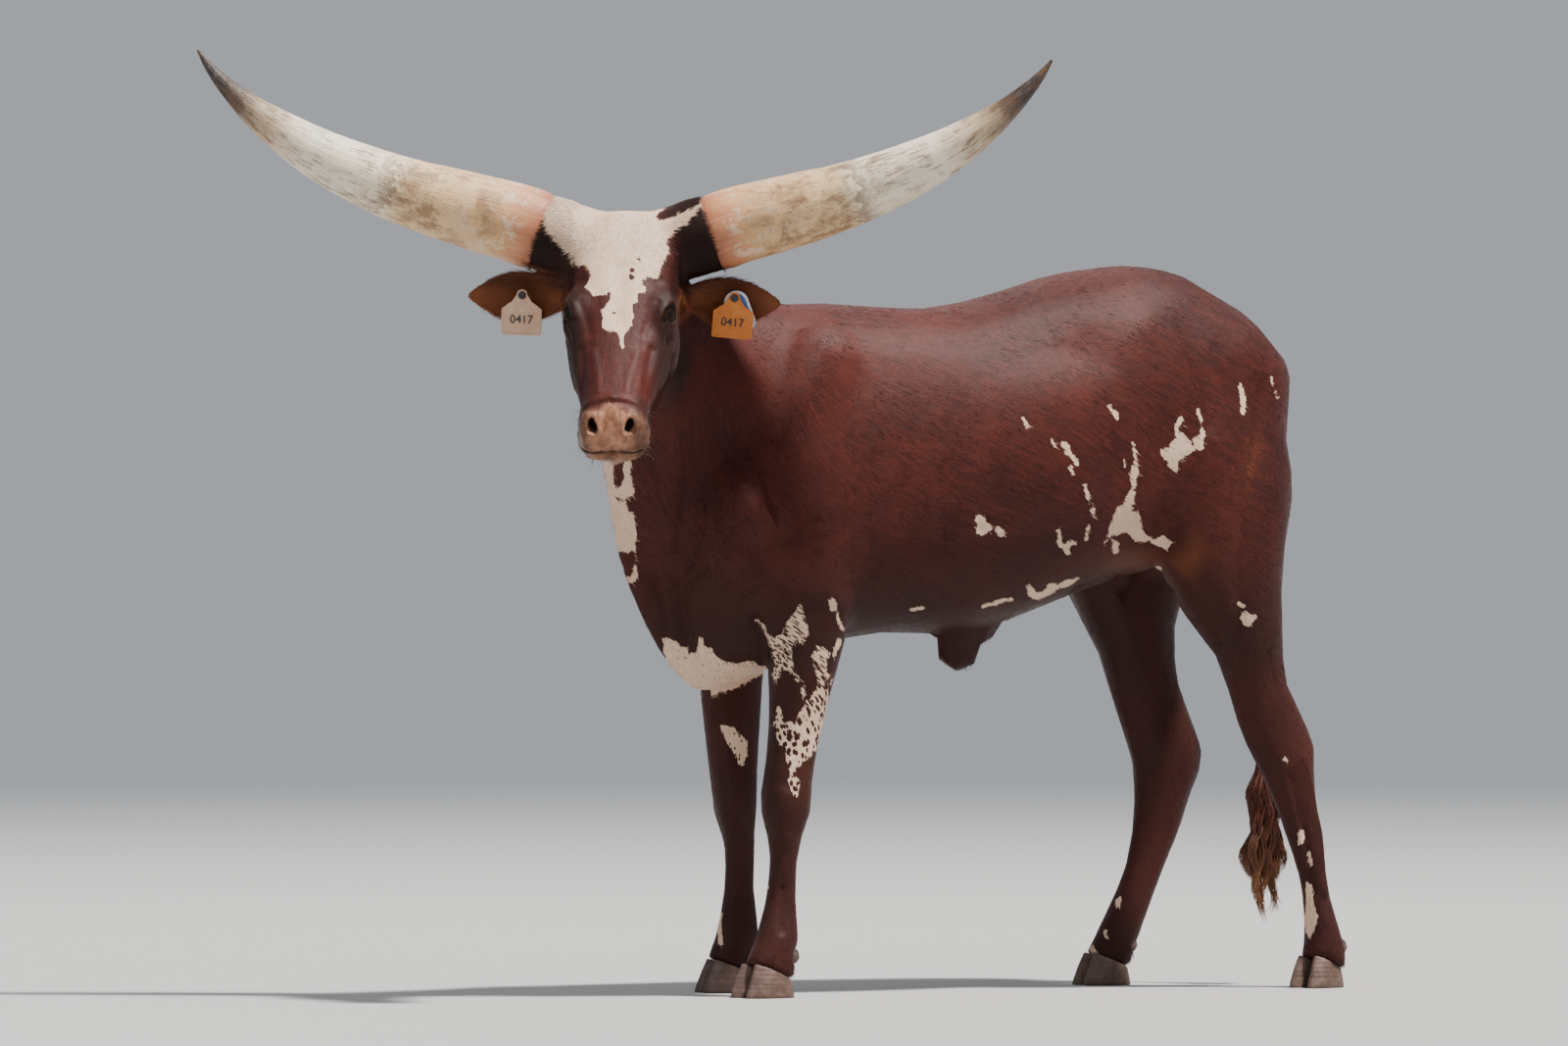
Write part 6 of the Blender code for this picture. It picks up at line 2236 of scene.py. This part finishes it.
# Hooves
@dataclass
class Hooves:
    """All claws and dewclaws, rounded and ringed."""

    voxel: float = 0.0019
    ring_gap: float = 0.0085
    ring_height: float = 0.00016
    swell: float = 0.0002
    tuck: float = 0.0034  # how far the top goes in under the hair

    def build(self) -> Thing:
        """Return the claws as one piece.

        Returns:
            The object.
        """
        hooves = joined("hooves", [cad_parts[name].data for name in self.nodes()])
        modified(hooves, "REMESH", mode="VOXEL", voxel_size=self.voxel)
        modified(hooves, "SMOOTH", factor=0.5, iterations=9)
        points = coords(hooves.data)
        ring = np.sin(points[:, 2] * 2 * pi / self.ring_gap + 9 * points[:, 1] + 7 * points[:, 0])
        out = normals(hooves.data)
        sole = ramp(points[:, 2], 0.006, 0.016)
        high = ramp(points[:, 2], 0.066, 0.086)
        move = ring * self.ring_height * sole + self.swell - self.tuck * high
        set_coords(hooves.data, points + out * move[:, None])
        store(hooves.data, "high", high)
        return smoothly(hooves)

    @staticmethod
    def nodes() -> list:
        """Return the names of the solids that the hooves stand for."""
        return [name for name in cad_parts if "claw" in name]


# Ear tags
class Disc(Enum):
    """The plates in the ears.

    Each has its side, turn, width, height, corner, middle under the stud, and how far forward it hangs.
    """

    ORANGE = ("left", radians(5.0), 0.073, 0.05, 0.005, -0.047, -0.022)
    PEACH = ("right", radians(2.0), 0.073, 0.05, 0.005, -0.047, -0.022)
    BLUE = ("left", radians(-20.0), 0.044, 0.078, 0.0215, -0.026, -0.0275)


@dataclass(frozen=True)
class Tag:
    """One ear tag: a moulded plate with a raised rim, a neck and a collar."""

    disc: Disc
    studs: tuple = (("left", 1.0, 0.196, -0.155), ("right", -1.0, 0.188, -0.149))
    thick: float = 0.0022

    def frame(self) -> Matrix:
        """Return the frame of the plate at its stud: X to the left, Y forward, Z up.

        Returns:
            The plate's frame in the shared frame.
        """
        side, roll = self.disc.value[0], self.disc.value[1]
        spot = next(stud for stud in self.studs if stud[0] == side)
        place = Matrix.Translation(Vector((spot[1] * spot[2], 0, spot[3])))
        return POSE.level() @ place @ Matrix.Rotation(roll, 4, "Y")

    def outline(self, shrink: float = 0.0) -> list:
        """Return the plate's edge as (across, up) pairs.

        Args:
            shrink: how far the line lies inside the edge.

        Returns:
            The pairs, in metres from the stud.
        """
        wide, tall, corner, middle = self.disc.value[2:6]
        half, rise, corner = wide / 2 - shrink, tall / 2 - shrink, max(corner - shrink, 0.0012)
        made = []
        for quarter, (x, z) in enumerate(((1, 1), (-1, 1), (-1, -1), (1, -1))):
            for step in range(9):
                angle = (quarter + step / 8) * pi / 2
                across = x * (half - corner) + corner * cos(angle)
                made.append((across, middle + z * (rise - corner) + corner * sin(angle)))
        if self.disc is Disc.BLUE:
            return made
        top = middle + rise
        neck = [(half - 0.008, top + 0.0035), (0.018, top + 0.0105)]
        neck += [(0.0105, 0), (0.0075, 0.008), (0, 0.011)]
        neck = [(max(x - shrink, 0), z - (shrink if z > 0.005 else 0)) for x, z in neck]
        after = next(index for index, pair in enumerate(made) if pair[0] < 0)
        return made[:after] + neck + [(-x, z) for x, z in neck[-2::-1]] + made[after:]

    def build(self) -> Thing:
        """Return the plate.

        Returns:
            The object.
        """
        frame_here = self.frame()
        base = self.disc.value[6]
        layers = (
            (0.0008, 0), (0, 0.0004), (0, self.thick - 0.0004), (0.0006, self.thick),
            (0.0026, self.thick), (0.0034, self.thick - 0.0005),
        )
        if self.disc is Disc.BLUE:
            layers += tuple((shrink, self.thick - 0.0005) for shrink in (0.0044, 0.005, 0.006))
        rings = []
        for shrink, forward in layers:
            rings.append([self.bent(frame_here, x, base + forward, z) for x, z in self.outline(shrink)])
        mesh = turned_out(plain("plate", *loft(rings)))
        inset = [shrink / 0.014 if forward > 0.001 else 0 for shrink, forward in layers]
        store(mesh, "inset", np.repeat(np.array(inset), len(rings[0])))
        return put("plate_" + self.disc.name.lower(), mesh)

    def bent(self, frame_here: Matrix, across: float, forward: float, rise: float) -> Vector:
        """Return a point of the plate, curled a little across its width.

        Args:
            frame_here: the plate's frame.
            across: how far to the side.
            forward: how far in front of the stud.
            rise: how far up.

        Returns:
            The point in the shared frame.
        """
        curl = 0.0022 * (across / 0.036) ** 2 - 0.03 * (rise + 0.03) * 0.1
        return frame_here @ Vector((across, forward - curl + 0.0006, rise))

    def digits(self, words: str, size: float, rise: float) -> Mesh:
        """Return plain digits lying on the plate's face.

        Args:
            words: the digits.
            size: their height in metres.
            rise: how far over the stud their middle is.

        Returns:
            Their mesh.
        """
        curve = bpy.data.curves.new("digits", "FONT")
        curve.body = words
        curve.size = size
        curve.align_x = curve.align_y = "CENTER"
        curve.extrude = 0.00012
        curve.offset = 0.0001
        source = put("digits", curve)
        graph = bpy.context.evaluated_depsgraph_get()
        mesh = bpy.data.meshes.new_from_object(source.evaluated_get(graph))
        bpy.data.objects.remove(source)
        frame_here, base = self.frame(), self.disc.value[6]
        for vertex in mesh.vertices:
            x, y, z = vertex.co
            vertex.co = self.bent(frame_here, x, base + self.thick - 0.00045 + z, rise + y)
        return turned_out(mesh)


@dataclass(frozen=True)
class Stud:
    """The pin and button that hold a tag through the ear."""

    side: str
    sign: float
    out: float
    rise: float
    rows: tuple = (
        (-66, 8.5), (-63.2, 9.8), (-61.2, 10), (-58, 8.5), (-57, 3),
        (-19.6, 3), (-19.4, 6.6), (-17.8, 7.2), (-16.6, 6.6), (-16, 4.6),
        (-16.8, 3),
    )

    def build(self) -> Thing:
        """Return the turned stud.

        Returns:
            The object.
        """
        frame_here = POSE.level() @ Matrix.Translation(Vector((self.sign * self.out, 0, self.rise)))
        rings = []
        for forward, radius in np.array(self.rows) / 1000:
            ring = oval(Vector((0, forward, 0)), Vector((1, 0, 0)), UP, radius, radius, 40)
            rings.append([frame_here @ point for point in ring])
        return smoothly(put("button_" + self.side, mesh_from("button", *loft(rings))))


# Tail switch
@dataclass
class Switch:
    """The wavy locks at the tail's end."""

    locks: int = 1300
    steps: int = 16
    tresses: int = 22
    seed: int = 11

    def build(self) -> Thing:
        """Return all locks as one piece.

        Returns:
            The object.
        """
        random = np.random.default_rng(self.seed)
        shift = Vector(POSE.shift)
        tresses = [self.tress(random, index) for index in range(self.tresses)]
        locks, reach = [], []
        for index in range(self.locks):
            tress = tresses[index % self.tresses]
            angle, core = tau * random.random(), sqrt(random.random())
            start = -0.01 - 0.075 * random.random()
            long = tress["long"] * (0.62 + 0.4 * random.random() ** 0.5)
            curl, phase = 0.0022 + 0.0026 * random.random(), 6.28 * random.random()
            rings = []
            for step in range(self.steps):
                t = step / (self.steps - 1)
                hang = start + (long - start) * t
                here = self.along(tress, max(hang, 0) / tress["long"])
                spread = (0.003 + 0.007 * sin(pi * min(t * 1.1, 1)) * (1 - 0.45 * t)) * core
                if hang < 0:
                    spread += 0.006
                centre = here + Vector((
                    spread * cos(angle) + curl * t * sin(phase + 9 * t),
                    spread * sin(angle) + curl * t * cos(phase + 8 * t),
                    -min(hang, 0),
                ))
                size = 0.0017 * (1 - t) ** 0.5 + 0.0002
                rings.append(oval(centre + shift, Vector((1, 0, 0)), Vector((0, 1, 0)), size, size * 0.7, 3))
                reach += [max(hang, 0) / 0.3] * 3
            locks.append(rings)
        mesh = hair_mesh("switch", locks)
        store(mesh, "reach", np.array(reach))
        return smoothly(put("switch_locks", mesh))

    @staticmethod
    def tress(random: np.random.Generator, index: int) -> dict:
        """Return one wavy tress: where it ends, how far it swings and how long it is.

        Args:
            random: the source of random numbers.
            index: the tress's number.

        Returns:
            The sizes by their names.
        """
        turn = tau * index * 0.618
        reach = 0.008 + 0.028 * sqrt(random.random())
        return {
            "aside": reach * 0.75 * cos(turn), "back": reach * sin(turn) + 0.004,
            "long": 0.205 + 0.1 * random.random(), "wave": 0.006 + 0.0055 * random.random(),
            "phase": 6.28 * random.random(), "turn": 6.28 * random.random(),
            "beat": 14 + 5 * random.random(),
        }

    @staticmethod
    def along(tress: dict, t: float) -> Vector:
        """Return a point of a tress from its root at 0 to its tip at 1.

        Args:
            tress: the tress's sizes.
            t: the part of its length.

        Returns:
            The point in the shared frame.
        """
        part = min(t * 1.25, 1) ** 0.8
        swing = sin(tress["phase"] + tress["beat"] * t * tress["long"] * 3.4)
        swing *= tress["wave"] * min(t * 3, 1)
        return Vector((
            -0.014 + tress["aside"] * part + 0.5 * swing * cos(tress["turn"]),
            0.59 + tress["back"] * part + swing,
            0.425 - tress["long"] * t,
        ))


@dataclass(frozen=True)
class SwitchFinish:
    """Long reddish hair, darker inside."""

    deep: tuple = (0.036, 0.009, 0.0055)
    light: tuple = (0.155, 0.041, 0.018)
    ends: tuple = (0.3, 0.125, 0.05)

    def make(self) -> Material:
        """Return the material.

        Returns:
            The material, with all its nodes.
        """
        paint = Paint("switch_hair_fine")
        place = paint.place()
        strand = paint.drawn(place, 420, 14, 3, 0.6)
        broad = paint.drawn(place, 60, 12, 4, 0.6)
        tone = paint.blend((strand * 0.6 + broad * 0.4).step(0.3, 0.7), self.deep, self.light)
        ends = (paint.mark("reach") + (broad - 0.5) * 0.5).step(0.35, 1.05)
        tone = paint.blend(ends * 0.85, tone, self.ends)
        return paint.finish({"Base Color": tone, "Roughness": 0.5, "Normal": paint.bump(strand, 0.4, 0.001)})


# Studio
@dataclass
class Studio:
    """Plain pale floor, soft light from high up, and the picture's camera."""

    body: tuple = (-0.1, 0.1, 0.85)
    floor_size: float = 60.0
    sky: tuple = (0.86, 0.9, 0.96, 1.0)
    sky_strength: float = 0.46
    sensor: float = 36.0

    def build(self) -> None:
        """Set floor, lights, world and camera."""
        self.floor()
        self.world()
        self.lamp("key", "SUN", 9.2, (1, 0.97, 0.93), (134, 66, 30, 5))
        self.lamp("fill", "AREA", 90, (0.95, 0.97, 1), (20, 30, 6.5, 4), self.body)
        self.lamp("rim", "AREA", 70, (1, 0.98, 0.95), (250, 42, 6.5, 3), self.body)
        self.camera()

    def floor(self) -> None:
        """Lay the floor, which fades out into the pale distance."""
        size = self.floor_size
        corners = [(-size, -size, 0), (size, -size, 0), (size, size, 0), (-size, size, 0)]
        floor = put("floor", mesh_from("floor", corners, [(0, 1, 2, 3)]))
        paint = Paint("floor_pale")
        away = paint.add("ShaderNodeVectorMath", {"operation": "LENGTH"}, {0: paint.place()}, "Value")
        inputs = {"Base Color": (0.37, 0.366, 0.362, 1), "Roughness": 0.9, "Alpha": away.drop(3, 17)}
        floor.data.materials.append(paint.finish(inputs))

    def world(self) -> None:
        """Set an even pale sky."""
        world = bpy.data.worlds.new("studio")
        world.use_nodes = True
        back = world.node_tree.nodes["Background"]
        back.inputs[0].default_value = self.sky
        back.inputs[1].default_value = self.sky_strength
        bpy.context.scene.world = world

    @staticmethod
    def lamp(
        name: str, kind: str, power: float, tone: tuple, place: tuple, target: tuple = (0.0, 0.0, 0.0),
    ) -> None:
        """Hang one light that looks at the body.

        Args:
            name: the light's name.
            kind: "SUN" or "AREA".
            power: strength of a sun, or watts.
            tone: colour of the light.
            place: degrees round the body from the front, degrees above the horizon, distance in metres,
                and its size, which is degrees for a sun and the side in metres for an area.
            target: what it looks at.
        """
        azimuth, height, away, size = place
        lamp = bpy.data.lights.new(name, kind)
        lamp.energy = power
        lamp.color = tone
        if kind == "SUN":
            lamp.angle = radians(size)
        else:
            lamp.size = size
        thing = put(name, lamp)
        turn, rise = radians(azimuth), radians(height)
        way = Vector((sin(turn) * cos(rise), -cos(turn) * cos(rise), sin(rise)))
        thing.location = Vector(target) + way * away
        thing.rotation_euler = way.to_track_quat("Z", "Y").to_euler()

    def camera(self) -> None:
        """Place the camera of the picture."""
        lens = bpy.data.cameras.new("camera")
        lens.sensor_width = self.sensor
        lens.lens = VIEW.focal * self.sensor / VIEW.width
        lens.shift_y = (VIEW.horizon - VIEW.centre[1]) / VIEW.width
        lens.clip_start = 1
        lens.clip_end = 2500
        thing = put("camera", lens)
        thing.matrix_world = framed(VIEW.place(), VIEW.ways()[1], UP)
        bpy.context.scene.camera = thing


def dress(thing: Thing, finish: Material, nodes: list = ()) -> Thing:
    """Give a piece its finish, its body and the solids it stands for.

    Args:
        thing: the piece.
        finish: its material.
        nodes: the solids it stands for, if any.

    Returns:
        The piece.
    """
    thing.data.materials.clear()
    thing.data.materials.append(finish)
    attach(thing, "root")
    if nodes:
        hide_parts(*nodes)
    LOG.info("%s: %d triangles", thing.name, sum(len(face.vertices) - 2 for face in thing.data.polygons))
    return thing


def eyeball(eye: Eye) -> Thing:
    """Return one eyeball with its pupil's places kept on it.

    Args:
        eye: the eye's sizes.

    Returns:
        The object.
    """
    mesh = ball_mesh("eyeball", 72, 48, eye.radius)
    part = coords(mesh) / eye.radius
    behind = (part[:, 2] < 0.0) * 1.0
    store(mesh, "gaze", part)
    store(mesh, "polar", np.hypot(part[:, 0], part[:, 1]) + behind)
    store(mesh, "pupil", np.hypot(part[:, 0] / eye.pupil[0], part[:, 1] / eye.pupil[1]) + behind * 9.0)
    mesh.transform(eye.frame())
    return smoothly(put("eyeball_" + eye.side, mesh))


def main() -> None:
    """Build and dress every piece."""
    logging.basicConfig(level=logging.INFO, format="%(name)s %(message)s")
    skin = Skin().build()
    flesh = list(Skin().nodes) + ["ear_left", "ear_right"]
    dress(skin, CoatFinish("coat_chestnut_fine").make(), flesh)
    hair = CoatFinish("coat_hair_fine", True).make()
    for piece in Fur(skin).build(hair):
        dress(piece, hair)
    dress(Bristles().build(skin), BristleFinish().make())
    horn_finish = HornFinish().make()
    for side, sign, roll, reach in (("left", 1.0, radians(1.0), 1.0), ("right", -1.0, 0.0, 1.028)):
        dress(Horn(side, sign, roll, reach).build(), horn_finish, ["horn_" + side])
    dress(Hooves().build(), HoofFinish().make(), Hooves.nodes())
    wet = EyeFinish().make()
    for eye in EYES:
        dress(eyeball(eye), wet, ["eye_" + eye.side])
    orange = PlateFinish("tag_orange_fine", (0.56, 0.15, 0.012), (0.6, 0.22, 0.04))
    peach = PlateFinish("tag_peach_fine", (0.56, 0.33, 0.21), (0.6, 0.43, 0.31))
    blue = PlateFinish("tag_blue_fine", (0.035, 0.11, 0.34), (0.12, 0.24, 0.44), rim=(0.62, 0.62, 0.6))
    ink = PlateFinish("tag_ink_fine", (0.02, 0.018, 0.02), (0.06, 0.05, 0.05))
    dress(Tag(Disc.ORANGE).build(), orange.make(), ["tag_left"])
    dress(Tag(Disc.PEACH).build(), peach.make(), ["tag_right"])
    dress(Tag(Disc.BLUE).build(), blue.make(), ["tag_round_left"])
    black = ink.make()
    for spot in Tag(Disc.ORANGE).studs:
        dress(Stud(*spot).build(), black, ["tag_stud_" + spot[0]])
    for disc in (Disc.ORANGE, Disc.PEACH):
        dress(put("ink_" + disc.name.lower(), Tag(disc).digits("0417", 0.021, -0.044)), black)
    dress(Switch().build(), SwitchFinish().make(), ["tail_switch"])
    Studio().build()


if __name__ == "__main__":
    main()
